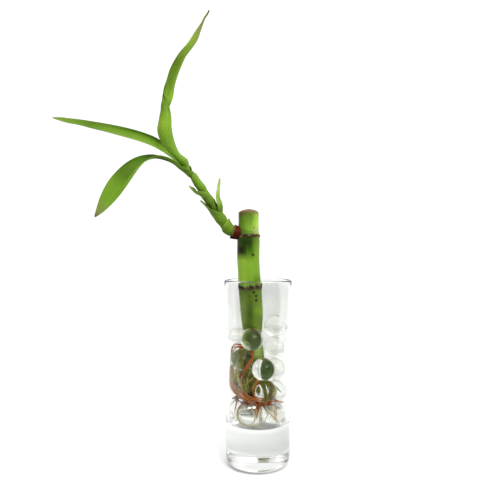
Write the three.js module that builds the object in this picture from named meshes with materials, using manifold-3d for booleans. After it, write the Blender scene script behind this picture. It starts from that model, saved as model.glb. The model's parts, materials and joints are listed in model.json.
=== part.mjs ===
// Lucky bamboo in a tall glass vase: one rooted stalk with a leafy side shoot, held by clear round
// beads. Millimetres, +Z up. The origin is the middle of the vase's foot, and the front is -Y.

import * as THREE from 'three';
import { mergeVertices } from 'three/addons/utils/BufferGeometryUtils.js';
import Module from 'manifold-3d';

// Clearance kept between pieces that touch, and room for facets that stand out of a curve.
const GAP = 0.3;
const FACET_ROOM = 0.1;

// Vase: a slightly tapering tube of clear glass on a thick solid base.
const VASE_HEIGHT = 135;
const VASE_TOP_RADIUS = 25;
const VASE_FOOT_RADIUS = 23.6;
const VASE_WALL = 2.2;
const VASE_BASE = 31;
const VASE_FOOT_ROUNDING = 5.6;
const VASE_FLOOR_ROUNDING = 2;
const VASE_WAIST = 75;
const VASE_SIDES = 48;

// Beads: swollen clear balls, 16 mm across, with a smaller one and a tiny one among them.
const BEAD_RADIUS = 8;
const BEAD_SEATS = [
  [-5.5, -12.3, 39.3, BEAD_RADIUS],
  [10.8, -8, 39.3, BEAD_RADIUS],
  [-13.3, 2.5, 39.3, BEAD_RADIUS],
  [3.5, 13, 39.3, BEAD_RADIUS],
  [12.8, 4, 51.5, BEAD_RADIUS],
  [5, -12, 56.2, BEAD_RADIUS],
  [-8.8, -5, 61.2, BEAD_RADIUS],
  [12.8, 4, 68, BEAD_RADIUS],
  [3.5, -13, 72.3, BEAD_RADIUS],
  [-11.7, -7.6, 77.9, BEAD_RADIUS],
  [12.2, 4, 84.6, BEAD_RADIUS],
  [-15.1, -0.6, 93, 7],
  [-4.4, -13.6, 93.8, BEAD_RADIUS],
  [12.6, 3, 101.1, BEAD_RADIUS],
  [19.5, -5.2, 101, 2],
];
const SETTLING_ROUNDS = 400;
const SINKING = 0.003;

// Stalk: stations of height, middle line and radius, from the rooted end up to the domed cut.
const STALK_FOOT = 50;
const STALK_FOOT_BULGE = 0.6;
const STALK_TOP = 187.6;
const STALK_RIM = { height: 185.7, radius: 6.9 };
const STALK_DOME = { height: 186.9, radius: 4.6 };
const STALK_AXIS = [
  [50, -2.3, 10], [60, -1.6, 9.9], [72, -1.6, 9.5], [80, -2.4, 8.9], [88, -3.5, 8.3],
  [98, -4.2, 7.9], [111, -4.7, 7.3],
  [128, -6, 6.4], [150, -7.2, 5.6], [187, -6.9, 4],
];
const STALK_RADII = [
  [50, 4.8], [51.5, 5.9], [60, 6.3], [72, 7], [80, 7], [91, 6.8], [98, 7.5], [105, 8.2],
  [112, 8.6], [126, 8.7], [140, 8.35], [164, 8.4], [170, 7.7], [178, 7.5], [184.8, 7.55],
  [185.6, 7.1],
];
const NODE_RINGS = [
  { height: 128.8, swell: 0.55, spread: 1.5 },
  { height: 167.8, swell: 0.6, spread: 1.3 },
];
const NODE_ROWS = [-2.4, -1.2, 0, 1.1, 2.2];
const STALK_ROWS = [
  50, 51.5, 60, 70, 80, 91, 98, 105, 112, 119, 125, 136, 144, 152, 160, 165, 173, 179, 184.8,
];
const STALK_SIDES = 24;

// Roots: a crown of callus round the rooted end, and the roots that grow from it.
const CROWN_WALL = 0.9;
const CROWN_FLOOR = 2.1;
const CROWN_LOW_SIDE = 57;
const CROWN_HIGH_SIDE = 86;
const CROWN_ROWS = 7;
const CROWN_SIDES = 20;
const ROOT_RADIUS = 0.72;
const ROOT_TAPER = 0.45;
const ROOT_SIDES = 4;
const ROOT_STEP = 3.6;
const ROOT_ROUNDS = 80;
const ROOT_SMOOTH_ROUNDS = 60;

// Shoot: middle line of the side shoot, from inside the stalk's upper node to its growing tip.
const SHOOT_LINE = [
  [-13.4, 4, 169.7], [-17.6, 3.6, 170.4], [-22.4, 3, 172.8], [-25.7, 2.4, 177.6],
  [-30.2, 1.8, 185.6], [-35.9, 1.2, 194.4], [-41.1, 0.5, 201.7], [-46.4, -0.4, 208.7],
  [-51, -1.1, 215.7], [-54.9, -1.8, 222.3], [-58.8, -2.6, 228.7],
];
const SHOOT_LENGTH = 70;
const CORE_RADII = [
  [0, 2.8], [10, 2.7], [20, 2.3], [35, 2], [42, 1.6], [50, 1], [58, 0.55], [65, 0.4], [72, 0.35],
];
const STEM_SIDES = 12;
const STEM_STEPS = 16;
const BLADE_THICKNESS = 0.62;
const BLADE_COLUMNS = 10;
const FLATTEST_CURL = 0.02;

const wasm = await Module();
wasm.setup();

const model = new THREE.Group();

function addPiece(name, geometry, colour, roughness) {
  const material = new THREE.MeshStandardMaterial({ color: colour, roughness, metalness: 0 });
  const mesh = new THREE.Mesh(geometry, material);
  mesh.name = name;
  model.add(mesh);
}

// Value of a column of rising [place, value, ...] stations, on straight lines between them.
function along(stations, place, column = 1) {
  let i = 0;
  while (i < stations.length - 2 && place > stations[i + 1][0]) {
    i += 1;
  }
  const [from, to] = [stations[i], stations[i + 1]];
  const t = THREE.MathUtils.clamp((place - from[0]) / (to[0] - from[0]), 0, 1);
  return THREE.MathUtils.lerp(from[column], to[column], t);
}

function solidFrom(geometry) {
  const bare = geometry.index ? geometry.clone() : geometry;
  bare.deleteAttribute('normal');
  bare.deleteAttribute('uv');
  const merged = mergeVertices(bare, 1e-4);
  return new wasm.Manifold(new wasm.Mesh({
    numProp: 3,
    vertProperties: Float32Array.from(merged.attributes.position.array),
    triVerts: Uint32Array.from(merged.index.array),
  }));
}

function geometryFrom(solid) {
  const mesh = solid.getMesh();
  const geometry = new THREE.BufferGeometry();
  geometry.setAttribute('position', new THREE.BufferAttribute(Float32Array.from(mesh.vertProperties), 3));
  geometry.setIndex(new THREE.BufferAttribute(Uint32Array.from(mesh.triVerts), 1));
  return geometry;
}

// The largest body of a solid, without scraps that a cut leaves.
function largest(solid) {
  return solid.decompose().sort((a, b) => b.volume() - a.volume())[0];
}

// Moves every corner of a geometry by a function of its place.
function reshape(geometry, place) {
  const corners = geometry.attributes.position;
  const corner = new THREE.Vector3();
  for (let i = 0; i < corners.count; i += 1) {
    corner.fromBufferAttribute(corners, i);
    place(corner);
    corners.setXYZ(i, corner.x, corner.y, corner.z);
  }
  return geometry;
}

// A lathe round +Z from a list of [radius, height] points.
function turned(profile, sides) {
  const geometry = new THREE.LatheGeometry(profile.map(([r, z]) => new THREE.Vector2(r, z)), sides);
  return geometry.rotateX(Math.PI / 2);
}

// A tube of changing radius along a curve, closed at both ends.
function sweptTube(curve, radiusAt, sides, steps) {
  const frames = curve.computeFrenetFrames(steps, false);
  const geometry = new THREE.CylinderGeometry(1, 1, steps, sides, steps);
  return reshape(geometry, (corner) => {
    const step = THREE.MathUtils.clamp(Math.round(corner.y + steps / 2), 0, steps);
    const radius = radiusAt(step / steps);
    const centre = curve.getPointAt(step / steps);
    const across = corner.x * radius;
    const up = -corner.z * radius;
    corner.copy(centre).addScaledVector(frames.normals[step], across);
    corner.addScaledVector(frames.binormals[step], up);
  });
}

// Vase

function vaseOuter(z) {
  return THREE.MathUtils.lerp(VASE_FOOT_RADIUS, VASE_TOP_RADIUS, z / VASE_HEIGHT);
}

function vaseInner(z) {
  return vaseOuter(z) - VASE_WALL;
}

function quarterTurn(radius, height, size, from, to, steps) {
  return Array.from({ length: steps + 1 }, (_, i) => {
    const angle = THREE.MathUtils.degToRad(THREE.MathUtils.lerp(from, to, i / steps));
    return [radius + size * Math.cos(angle), height + size * Math.sin(angle)];
  });
}

function vase() {
  const foot = VASE_FOOT_ROUNDING;
  const floor = VASE_FLOOR_ROUNDING;
  const lip = VASE_WALL / 2;
  const lipHeight = VASE_HEIGHT - lip;
  const profile = [
    [0, 0],
    ...quarterTurn(vaseOuter(foot) - foot, foot, foot, -90, 0, 4),
    [vaseOuter(VASE_WAIST), VASE_WAIST],
    ...quarterTurn(vaseOuter(lipHeight) - lip, lipHeight, lip, 0, 180, 4),
    [vaseInner(VASE_WAIST), VASE_WAIST],
    ...quarterTurn(vaseInner(VASE_BASE) - floor, VASE_BASE + floor, floor, 0, -90, 3),
    [0, VASE_BASE],
  ];
  return turned(profile, VASE_SIDES);
}

// Stalk

function stalkAxis(z) {
  return { x: along(STALK_AXIS, z, 1), y: along(STALK_AXIS, z, 2) };
}

// How near a height is to a node's ring, from 0 to 1.
function nearness(ring, z) {
  return Math.exp(-(((z - ring.height) / ring.spread) ** 2));
}

function stalkRadius(z) {
  const plain = along(STALK_RADII, z);
  return NODE_RINGS.reduce((radius, ring) => radius + ring.swell * nearness(ring, z), plain);
}

// The node rings are ragged: their edge swings in and out round the stalk.
function ringRaggedness(z, angle) {
  const wave = 0.16 * Math.sin(3 * angle + 1) + 0.12 * Math.sin(7 * angle + 2);
  return NODE_RINGS.reduce((ragged, ring) => ragged + wave * nearness(ring, z), 0);
}

function stalkHeights() {
  const rings = NODE_RINGS.flatMap((ring) => NODE_ROWS.map((step) => ring.height + step));
  return [...STALK_ROWS, ...rings].sort((a, b) => a - b);
}

function stalk(extra = 0) {
  const wall = stalkHeights().map((z) => [stalkRadius(z) + extra, z]);
  const profile = [
    [0, STALK_FOOT - STALK_FOOT_BULGE - extra],
    ...wall,
    [STALK_RIM.radius + extra, STALK_RIM.height + extra],
    [STALK_DOME.radius, STALK_DOME.height + extra],
    [0, STALK_TOP + extra],
  ];
  return reshape(turned(profile, STALK_SIDES), (corner) => {
    const angle = Math.atan2(corner.y, corner.x);
    const radius = Math.hypot(corner.x, corner.y);
    const ragged = radius > 6 ? radius + ringRaggedness(corner.z, angle) : radius;
    const axis = stalkAxis(corner.z);
    corner.x = axis.x + ragged * Math.cos(angle);
    corner.y = axis.y + ragged * Math.sin(angle);
  });
}

// Beads

function beadClearOfVase(bead) {
  const reach = vaseInner(bead.z) - bead.size - GAP;
  const radius = Math.hypot(bead.x, bead.y);
  if (radius > reach) {
    bead.x *= reach / radius;
    bead.y *= reach / radius;
  }
  bead.z = Math.max(bead.z, VASE_BASE + bead.size + GAP);
}

function beadClearOfStalk(bead) {
  const height = Math.max(bead.z, STALK_FOOT);
  const axis = stalkAxis(height);
  const away = new THREE.Vector3(bead.x - axis.x, bead.y - axis.y, bead.z - height);
  const needed = stalkRadius(height) + bead.size + GAP + (bead.z < CROWN_LOW_SIDE ? CROWN_WALL + GAP : 0);
  const short = needed - away.length();
  if (short > 0) {
    away.setLength(short);
    bead.x += away.x;
    bead.y += away.y;
    bead.z += away.z;
  }
}

function pushApart(a, b) {
  const line = new THREE.Vector3(b.x - a.x, b.y - a.y, b.z - a.z);
  const short = a.size + b.size + GAP - line.length();
  if (short <= 0) {
    return;
  }
  const share = b.size / (a.size + b.size);
  line.setLength(short);
  a.x -= line.x * (1 - share);
  a.y -= line.y * (1 - share);
  a.z -= line.z * (1 - share);
  b.x += line.x * share;
  b.y += line.y * share;
  b.z += line.z * share;
}

// The beads start at their seats, sink a little and push each other clear.
function settledBeads() {
  const beads = BEAD_SEATS.map(([x, y, z, size]) => ({ x, y, z, size }));
  for (let round = 0; round < SETTLING_ROUNDS; round += 1) {
    const sink = round < SETTLING_ROUNDS / 3 ? SINKING : 0;
    beads.forEach((bead) => {
      bead.z -= sink;
    });
    beads.forEach((bead, i) => beads.slice(i + 1).forEach((other) => pushApart(bead, other)));
    beads.forEach(beadClearOfStalk);
    beads.forEach(beadClearOfVase);
  }
  return beads;
}

// Roots

function crownTop(angle) {
  const left = 0.5 - 0.5 * Math.cos(angle);
  return THREE.MathUtils.lerp(CROWN_LOW_SIDE, CROWN_HIGH_SIDE, left ** 3);
}

// Inner radius of the crown: the stalk's own, or that of its foot's edge below it, and the gap.
function crownInner(z) {
  return stalkRadius(Math.max(z, STALK_RADII[1][0])) + GAP + FACET_ROOM;
}

// A cup that hugs the rooted end of the stalk and climbs higher on its left side.
function crown() {
  const rows = CROWN_ROWS;
  const bottom = STALK_FOOT - STALK_FOOT_BULGE - GAP;
  const outer = Array.from({ length: rows + 1 }, (_, i) => [2, i / rows]);
  const inner = Array.from({ length: rows + 1 }, (_, i) => [1, 1 - i / rows]);
  const profile = [[0, -1], ...outer, ...inner, [0, 0]];
  return reshape(turned(profile, CROWN_SIDES), (corner) => {
    const layer = Math.hypot(corner.x, corner.y);
    const angle = Math.atan2(corner.y, corner.x);
    if (layer < 0.5) {
      corner.z = corner.z < -0.5 ? bottom - CROWN_FLOOR : bottom;
      const end = stalkAxis(STALK_FOOT);
      corner.x = end.x;
      corner.y = end.y;
      return;
    }
    const thick = layer > 1.5 ? CROWN_WALL : 0;
    const z = THREE.MathUtils.lerp(bottom, crownTop(angle), corner.z) - (corner.z < 0.01 ? thick : 0);
    const axis = stalkAxis(z);
    const radius = crownInner(z) + thick;
    corner.x = axis.x + radius * Math.cos(angle);
    corner.y = axis.y + radius * Math.sin(angle);
    corner.z = z;
  });
}

// A small repeatable source of even numbers from 0 to 1.
function seeded(seed) {
  let state = seed;
  return () => {
    state = (state * 1103515245 + 12345) % 2147483648;
    return state / 2147483648;
  };
}

// Keeps a root's point clear of the beads, the stalk and the glass.
function clearRootPoint(point, beads, size) {
  beads.forEach((bead) => {
    const away = new THREE.Vector3(point.x - bead.x, point.y - bead.y, point.z - bead.z);
    const needed = bead.size + size + GAP + 2 * FACET_ROOM;
    if (away.length() < needed) {
      away.setLength(needed);
      point.set(bead.x + away.x, bead.y + away.y, bead.z + away.z);
    }
  });
  if (point.z > STALK_FOOT - CROWN_FLOOR - 2 * size) {
    const axis = stalkAxis(point.z);
    const away = new THREE.Vector2(point.x - axis.x, point.y - axis.y);
    const needed = crownInner(point.z) + FACET_ROOM + size;
    if (away.length() < needed) {
      away.setLength(needed);
      point.x = axis.x + away.x;
      point.y = axis.y + away.y;
    }
  }
  const reach = vaseInner(point.z) - size - GAP - 1.5 * FACET_ROOM;
  const radius = Math.hypot(point.x, point.y);
  if (radius > reach) {
    point.x *= reach / radius;
    point.y *= reach / radius;
  }
  point.z = Math.max(point.z, VASE_BASE + VASE_FLOOR_ROUNDING + size + GAP);
}

// A root's way: from its start on the crown through the places that it passes, pushed clear.
function rootWay(places, beads, size) {
  const guide = new THREE.CatmullRomCurve3(places.map((p) => new THREE.Vector3(...p)));
  const steps = Math.max(5, Math.round(guide.getLength() / ROOT_STEP));
  const points = guide.getSpacedPoints(steps);
  for (let round = 0; round < ROOT_ROUNDS; round += 1) {
    for (let i = 1; i < points.length; i += 1) {
      if (i < points.length - 1 && round < ROOT_SMOOTH_ROUNDS) {
        const middle = points[i - 1].clone().add(points[i + 1]).multiplyScalar(0.5);
        points[i].lerp(middle, 0.25);
      }
      clearRootPoint(points[i], beads, size);
    }
  }
  return points;
}

// A root's start on the crown, sunk into its wall, at an angle round the stalk and a height.
function rootStart(angle, z) {
  const axis = stalkAxis(z);
  const radius = crownInner(z) + 0.5 * CROWN_WALL;
  return [axis.x + radius * Math.cos(angle), axis.y + radius * Math.sin(angle), z];
}

// The roots that show through the glass, as places that they pass after the crown.
const SHOWN_ROOTS = [
  {
    angle: 3.5, height: 83,
    places: [[-14.5, 2, 84], [-19, -3, 82.5], [-20.2, -5, 74], [-20, -4, 64], [-18, -6, 57]],
  },
  {
    angle: 3.3, height: 84,
    places: [[-15, 4, 85.5], [-20, 2, 83], [-21, -1, 72], [-20.5, -2, 62], [-16.5, -5, 52]],
  },
  {
    angle: 3.9, height: 79,
    places: [[-11, -0.5, 84], [-16, -6, 86], [-19.5, -8, 80], [-20, -7, 68], [-17, -8, 56]],
  },
  {
    angle: 3.1, height: 82,
    places: [[-15, 6, 80], [-19.6, 4, 74], [-20.5, 2, 64], [-18.5, -2, 54], [-12, -5, 50]],
  },
  {
    angle: 4.4, height: 74,
    places: [[-6, -2, 74], [-6, -12, 77], [-9, -16, 70], [-12, -14.5, 62], [-9, -14, 55]],
  },
  {
    angle: 4.5, height: 68,
    places: [[-3, -2, 70], [-1, -10, 68], [-4, -17, 66], [-9, -16.5, 63], [-13, -13, 56]],
  },
  {
    angle: 4.2, height: 60,
    places: [[-12, 3, 58], [-17, -3, 56], [-14, -8, 50], [-6, -8, 50], [2, -5, 49]],
  },
  {
    angle: 3.8, height: 56,
    places: [[-13, 2, 54], [-16, -5, 51], [-11, -12, 49], [-3, -12, 49.5], [4, -6, 48]],
  },
  {
    angle: 4.7, height: 52,
    places: [[-5, -3, 50], [-9, -8, 49], [-3, -13, 49], [6, -17, 48], [12, -16, 48]],
  },
  {
    angle: 5.2, height: 53,
    places: [[1, -2, 52], [4, -3, 60], [9, -9, 63], [13, -13, 60], [16, -12, 55]],
  },
  {
    angle: 4.9, height: 50,
    places: [[-4, 0, 46], [-8, -4, 47], [-13, -10, 48], [-15.5, -12, 44], [-14, -13, 38]],
  },
  {
    angle: 4.6, height: 50,
    places: [[-6, 0, 47], [2, -5, 46], [7, -14, 47], [13, -15.5, 42], [16, -12.5, 38]],
  },
  {
    angle: 5.5, height: 50,
    places: [[2, 2, 46], [6, 2, 41], [3, -7, 36], [-1, -17, 36], [-8, -17.5, 34.5]],
  },
  {
    angle: 3.7, height: 81,
    places: [[-13.5, 0, 86], [-17.5, -4, 85], [-20.8, -3, 79], [-20.5, -1, 66], [-14, -8, 51]],
  },
  {
    angle: 3.4, height: 78,
    places: [[-14, 3, 79], [-19, 0, 77], [-20, -6, 68], [-16, -10, 54], [-8, -12, 50]],
  },
  {
    angle: 2.9, height: 80,
    places: [[-14, 8, 82], [-18, 7, 76], [-20.2, 5, 66], [-19.5, 3, 55], [-14, -2, 50]],
  },
  {
    angle: 3.6, height: 70,
    places: [[-13, 1, 70], [-19, -3, 68], [-20, -5, 60], [-14, -11, 53], [-2, -14, 50]],
  },
  {
    angle: 4, height: 66,
    places: [[-10, 0, 66], [-17, -5, 66], [-19.5, -6, 58], [-14, -11, 51.5], [-5, -15, 50.5]],
  },
];

// Short roots that spread from the rooted end among the lowest beads: angle and height where
// they start, how far they swing round, and how they spread and sink at each step.
const FILLING_ROOTS = {
  count: 8,
  seed: 41,
  angle: 1.9,
  sweep: 3.6,
  height: 50.5,
  rise: 5,
  swing: 2.2,
  spread: 12,
  reach: 20,
  sink: 1.6,
};

function fillingRoot(draw) {
  const size = ROOT_RADIUS * (0.85 + 0.2 * draw());
  const angle = FILLING_ROOTS.angle + FILLING_ROOTS.sweep * draw();
  const height = FILLING_ROOTS.height + FILLING_ROOTS.rise * draw();
  const swing = (draw() - 0.5) * FILLING_ROOTS.swing;
  const length = 4 + Math.floor(3 * draw());
  const places = [];
  for (let step = 1; step <= length; step += 1) {
    const turn = angle + swing * (step / length);
    const spread = Math.min(FILLING_ROOTS.spread + 3 * step + 2 * draw(), FILLING_ROOTS.reach);
    const sink = height - FILLING_ROOTS.sink * step - 4 * draw();
    places.push([spread * Math.cos(turn), spread * Math.sin(turn), sink]);
  }
  return { angle, height, places, size };
}

function roots(beads) {
  const draw = seeded(FILLING_ROOTS.seed);
  const ways = SHOWN_ROOTS.map((root) => ({ size: ROOT_RADIUS, ...root }));
  for (let i = 0; i < FILLING_ROOTS.count; i += 1) {
    ways.push(fillingRoot(draw));
  }
  let body = solidFrom(crown());
  ways.forEach(({ angle, height, places, size }) => {
    const start = rootStart(angle, Math.min(height, crownTop(angle) - 1.5));
    const points = rootWay([start, ...places], beads, size);
    const curve = new THREE.CatmullRomCurve3(points);
    const radiusAt = (t) => size * (1 - ROOT_TAPER * t ** 3);
    body = body.add(solidFrom(sweptTube(curve, radiusAt, ROOT_SIDES, points.length + 1)));
  });
  return geometryFrom(body);
}

// Shoot, sheaths and leaves

const shootLine = new THREE.CatmullRomCurve3(SHOOT_LINE.map((p) => new THREE.Vector3(...p)));

// A direction square to a tangent. A turn of 0 faces the viewer and 90 faces right, or up on a
// leaf that lies over to the left.
function facing(tangent, turn) {
  const front = new THREE.Vector3(0, -1, 0).addScaledVector(tangent, tangent.y).normalize();
  const side = tangent.clone().cross(front);
  const angle = THREE.MathUtils.degToRad(turn);
  return front.multiplyScalar(Math.cos(angle)).addScaledVector(side, Math.sin(angle));
}

// A station of a sheath that wraps the shoot: place along it, radius of its middle surface, wrap
// and turn.
function sheathStation([place, radius, wrap, turn]) {
  const t = place / shootLine.getLength();
  const tangent = shootLine.getTangentAt(t);
  const face = facing(tangent, turn);
  const point = shootLine.getPointAt(t).addScaledVector(face, -radius);
  return { point, tangent, width: radius * THREE.MathUtils.degToRad(wrap), wrap, turn };
}

// A station of the free blade: place, flat width, how far the section curls, and its turn.
function bladeStation([x, y, z, width, wrap, turn]) {
  return { point: new THREE.Vector3(x, y, z), width, wrap, turn };
}

function mixed(stations, t, key) {
  const place = t * (stations.length - 1);
  const i = Math.min(Math.floor(place), stations.length - 2);
  const [from, to] = [stations[i][key], stations[i + 1][key]];
  if (from.isVector3) {
    return from.clone().lerp(to, place - i).normalize();
  }
  return THREE.MathUtils.lerp(from, to, place - i);
}

// Place on the middle surface of a curled leaf: across from -1 to 1, along from 0 to 1.
function leafPlace(leaf, across, t) {
  const tangent = mixed(leaf.stations, t, 'tangent');
  const face = facing(tangent, mixed(leaf.stations, t, 'turn'));
  const side = tangent.clone().cross(face);
  const half = mixed(leaf.stations, t, 'width') / 2;
  const wrap = THREE.MathUtils.degToRad(mixed(leaf.stations, t, 'wrap'));
  const curl = Math.max(wrap / 2, FLATTEST_CURL);
  const radius = half / curl;
  const turn = across * curl;
  const place = leaf.line.getPoint(t);
  place.addScaledVector(side, radius * Math.sin(turn));
  return place.addScaledVector(face, radius * (1 - Math.cos(turn)));
}

// Direction square to the leaf's middle surface.
function leafNormal(leaf, across, t) {
  const step = 1e-3;
  const ahead = leafPlace(leaf, across, Math.min(t + step, 1));
  const behind = leafPlace(leaf, across, Math.max(t - step, 0));
  const right = leafPlace(leaf, across + step, t);
  const left = leafPlace(leaf, across - step, t);
  return ahead.sub(behind).cross(right.sub(left)).normalize();
}

// The corners round the border of a grid, in order.
function borderOf(rows, columns, at) {
  const border = [];
  for (let column = 0; column < columns; column += 1) {
    border.push(at(0, column));
  }
  for (let row = 0; row < rows; row += 1) {
    border.push(at(row, columns));
  }
  for (let column = columns; column > 0; column -= 1) {
    border.push(at(rows, column));
  }
  for (let row = rows; row > 0; row -= 1) {
    border.push(at(row, 0));
  }
  return border;
}

// A curled leaf of even thickness. Both faces share one pattern of triangles, closed by a rim.
function leafGeometry(stations) {
  const leaf = { stations, line: new THREE.CatmullRomCurve3(stations.map((s) => s.point)) };
  const rows = stations.length - 1;
  const columns = BLADE_COLUMNS;
  stations.forEach((station, row) => {
    station.tangent ??= leaf.line.getTangent(row / rows);
  });
  const upper = [];
  const lower = [];
  for (let row = 0; row <= rows; row += 1) {
    for (let column = 0; column <= columns; column += 1) {
      const across = (2 * column) / columns - 1;
      const place = leafPlace(leaf, across, row / rows);
      const normal = leafNormal(leaf, across, row / rows);
      upper.push(place.clone().addScaledVector(normal, BLADE_THICKNESS / 2));
      lower.push(place.addScaledVector(normal, -BLADE_THICKNESS / 2));
    }
  }
  const under = upper.length;
  const at = (row, column) => row * (columns + 1) + column;
  const faces = [];
  for (let row = 0; row < rows; row += 1) {
    for (let column = 0; column < columns; column += 1) {
      const [a, b] = [at(row, column), at(row, column + 1)];
      const [d, c] = [at(row + 1, column), at(row + 1, column + 1)];
      faces.push(a, c, b, a, d, c, under + a, under + b, under + c, under + a, under + c, under + d);
    }
  }
  const border = borderOf(rows, columns, at);
  border.forEach((a, i) => {
    const b = border[(i + 1) % border.length];
    faces.push(a, b, under + b, a, under + b, under + a);
  });
  const corners = [...upper, ...lower].flatMap((place) => place.toArray());
  const geometry = new THREE.BufferGeometry();
  geometry.setAttribute('position', new THREE.Float32BufferAttribute(corners, 3));
  geometry.setIndex(faces);
  return geometry;
}

function coreRadius(place) {
  return along(CORE_RADII, place);
}

function shootStem() {
  const steps = 40;
  const kept = Math.round((steps * SHOOT_LENGTH) / shootLine.getLength());
  const points = shootLine.getSpacedPoints(steps).slice(0, kept + 1);
  const curve = new THREE.CatmullRomCurve3(points);
  return sweptTube(curve, (t) => coreRadius(t * SHOOT_LENGTH), STEM_SIDES, STEM_STEPS);
}

// Each sheath starts close on the core, below the mouth of the one that covers it. The rows of
// a blade give its back in space, flat width, curl and turn.
const LEAVES = [
  {
    name: 'bud_scale',
    colour: '#8a5a3c',
    sheath: [
      [0, 5, 350, -60], [2.2, 4.9, 350, -60], [4.2, 5.1, 345, -60], [5.8, 5.5, 300, -60],
    ],
    blade: [],
  },
  {
    name: 'sheath_base',
    colour: '#9aa86a',
    sheath: [
      [4, 3.6, 310, -90], [7.5, 4.4, 310, -90], [11, 4.8, 300, -90], [13.5, 4.8, 230, -90],
      [16, 5, 60, -90],
    ],
    blade: [],
  },
  {
    name: 'bract_left',
    colour: '#86ab45',
    sheath: [
      [11, 3.4, 310, 90], [15, 3.5, 310, 90], [18.5, 4.4, 300, 90], [21.5, 4.6, 270, 90],
      [24, 4.9, 200, 90],
    ],
    blade: [
      [-37, 0.6, 187.3, 7.4, 105, 86], [-39.9, 0.2, 190.6, 5, 78, 78],
      [-42.7, 0, 193.7, 1.2, 60, 60],
    ],
  },
  {
    name: 'bract_upright',
    colour: '#b3bd86',
    sheath: [
      [19, 3.05, 310, -90], [23, 3.15, 300, -90], [24.3, 4.1, 165, -90], [25.8, 5.2, 150, -90],
      [28.5, 6.2, 135, -88],
    ],
    blade: [
      [-28.6, 1, 196.8, 8.4, 150, -92], [-28.5, 0.6, 202, 5.5, 130, -104],
      [-28.3, 0.4, 206.4, 4, 100, -108], [-28.3, 0.2, 210.2, 1, 60, -108],
    ],
  },
  {
    name: 'bract_short',
    colour: '#7fae3f',
    sheath: [
      [24.5, 2.9, 310, 90], [31, 2.95, 310, 90], [33.5, 3.6, 300, 90], [38, 3.7, 270, 90],
      [41.5, 3.9, 200, 90],
    ],
    blade: [
      [-46.4, 0.4, 199.2, 8, 130, 88], [-49, 0, 202, 5, 110, 70], [-51, -0.4, 204.6, 1.2, 60, 70],
    ],
  },
  {
    name: 'bract_nub',
    colour: '#86b440',
    sheath: [
      [37, 2.5, 310, -90], [42, 2.45, 310, -90], [45.5, 3.2, 310, -90], [50, 3.05, 310, -95],
      [54.8, 3.05, 250, -100], [57.4, 3.1, 150, -105],
    ],
    blade: [],
  },
  {
    name: 'leaf_drooping',
    colour: '#4c8a34',
    sheath: [
      [49.5, 1.85, 300, 115], [56.6, 1.95, 300, 115], [58.6, 2.75, 262, 114], [61, 3.3, 160, 116],
    ],
    blade: [
      [-57.4, -5.4, 216.6, 6.4, 70, 106], [-61.5, -8, 219.6, 8.4, 115, 92],
      [-67, -12, 221.6, 9.6, 115, 84], [-73.5, -17, 222, 11, 100, 72],
      [-80.2, -21, 219.5, 12.2, 80, 52], [-86.2, -25, 214.6, 13.2, 60, 34],
      [-91.7, -28, 207.8, 14, 48, 22], [-96.7, -30, 200.8, 13.6, 40, 14],
      [-101.4, -31, 193.8, 11.4, 36, 8], [-105.8, -31, 187.4, 8, 32, 8],
      [-109.3, -30, 182.8, 4.3, 30, 8], [-112, -29, 179.8, 1, 20, 8],
    ],
  },
  {
    name: 'leaf_left',
    colour: '#6fa23c',
    sheath: [
      [57.6, 1.27, 300, 60], [59.6, 1.55, 300, 60], [62, 2.4, 290, 60], [64.8, 3.25, 215, 61],
      [67, 4.1, 125, 60],
    ],
    blade: [
      [-61.4, 3.2, 224.2, 7.4, 70, 58], [-65.6, 5, 228, 9.5, 100, 54], [-72, 6, 233, 10.6, 95, 48],
      [-80, 7, 237.8, 11.8, 85, 44], [-91.5, 8, 242.2, 12.4, 76, 44],
      [-102.5, 8, 245.3, 12.2, 70, 44], [-113.6, 7, 248, 11.2, 64, 46],
      [-124.4, 5, 250, 10, 60, 48], [-133, 3, 251.6, 8.6, 60, 50], [-141.6, 2, 252.9, 7, 55, 50],
      [-147.9, 1, 254.3, 4.4, 50, 50], [-152.5, 1, 255.5, 0.9, 20, 50],
    ],
  },
  {
    name: 'leaf_upright',
    colour: '#86b93c',
    sheath: [
      [62.3, 1.15, 300, 125], [64.6, 1.95, 300, 125], [67, 2.9, 280, 126], [69, 3.3, 250, 130],
    ],
    blade: [
      [-60.6, -4.8, 224.8, 10.4, 210, 138], [-65, -5.4, 230.4, 12.5, 165, 146],
      [-68.2, -5.4, 237.4, 13.8, 125, 152], [-70, -5.2, 245.9, 14.2, 100, 156],
      [-70, -5, 253.4, 13.8, 130, 154], [-70.4, -4.3, 259, 14, 205, 148],
      [-71.2, -2.8, 261.6, 14, 230, 124], [-71.5, -1, 264, 14, 240, 95],
      [-71, 0.8, 266.5, 13.8, 230, 68], [-70, 2.4, 269, 12.8, 205, 46],
      [-68, 3, 275.2, 10.6, 120, 42], [-66.1, 3, 281.5, 8.6, 100, 40],
      [-63.4, 3, 290.1, 8.4, 100, 38], [-60, 3, 297.5, 7.6, 100, 38],
      [-56.4, 2.5, 303.3, 6.4, 90, 38], [-51.5, 2, 309, 5.6, 90, 38],
      [-47.2, 1.5, 315, 5.4, 80, 38], [-44.2, 1, 320.6, 3.7, 70, 38],
      [-41.4, 0.5, 325.6, 1.9, 60, 38], [-39.5, 0, 329.3, 1.3, 40, 38],
      [-37.6, 0, 332, 1.1, 20, 38], [-36.2, 0, 334.7, 0.8, 20, 38],
    ],
  },
];

// Rows with one more between each pair, so that the sheath follows the bend of the shoot.
function closer(rows) {
  return rows.flatMap((row, i) => {
    const before = rows[Math.max(i - 1, 0)];
    const between = row.map((value, k) => (value + before[k]) / 2);
    return i === 0 ? [row] : [between, row];
  });
}

function leaf({ sheath, blade }) {
  return leafGeometry([...closer(sheath).map(sheathStation), ...blade.map(bladeStation)]);
}

addPiece('vase', vase(), '#e9eeec', 0.03);
addPiece('stalk', stalk(), '#5d8a34', 0.42);

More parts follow.
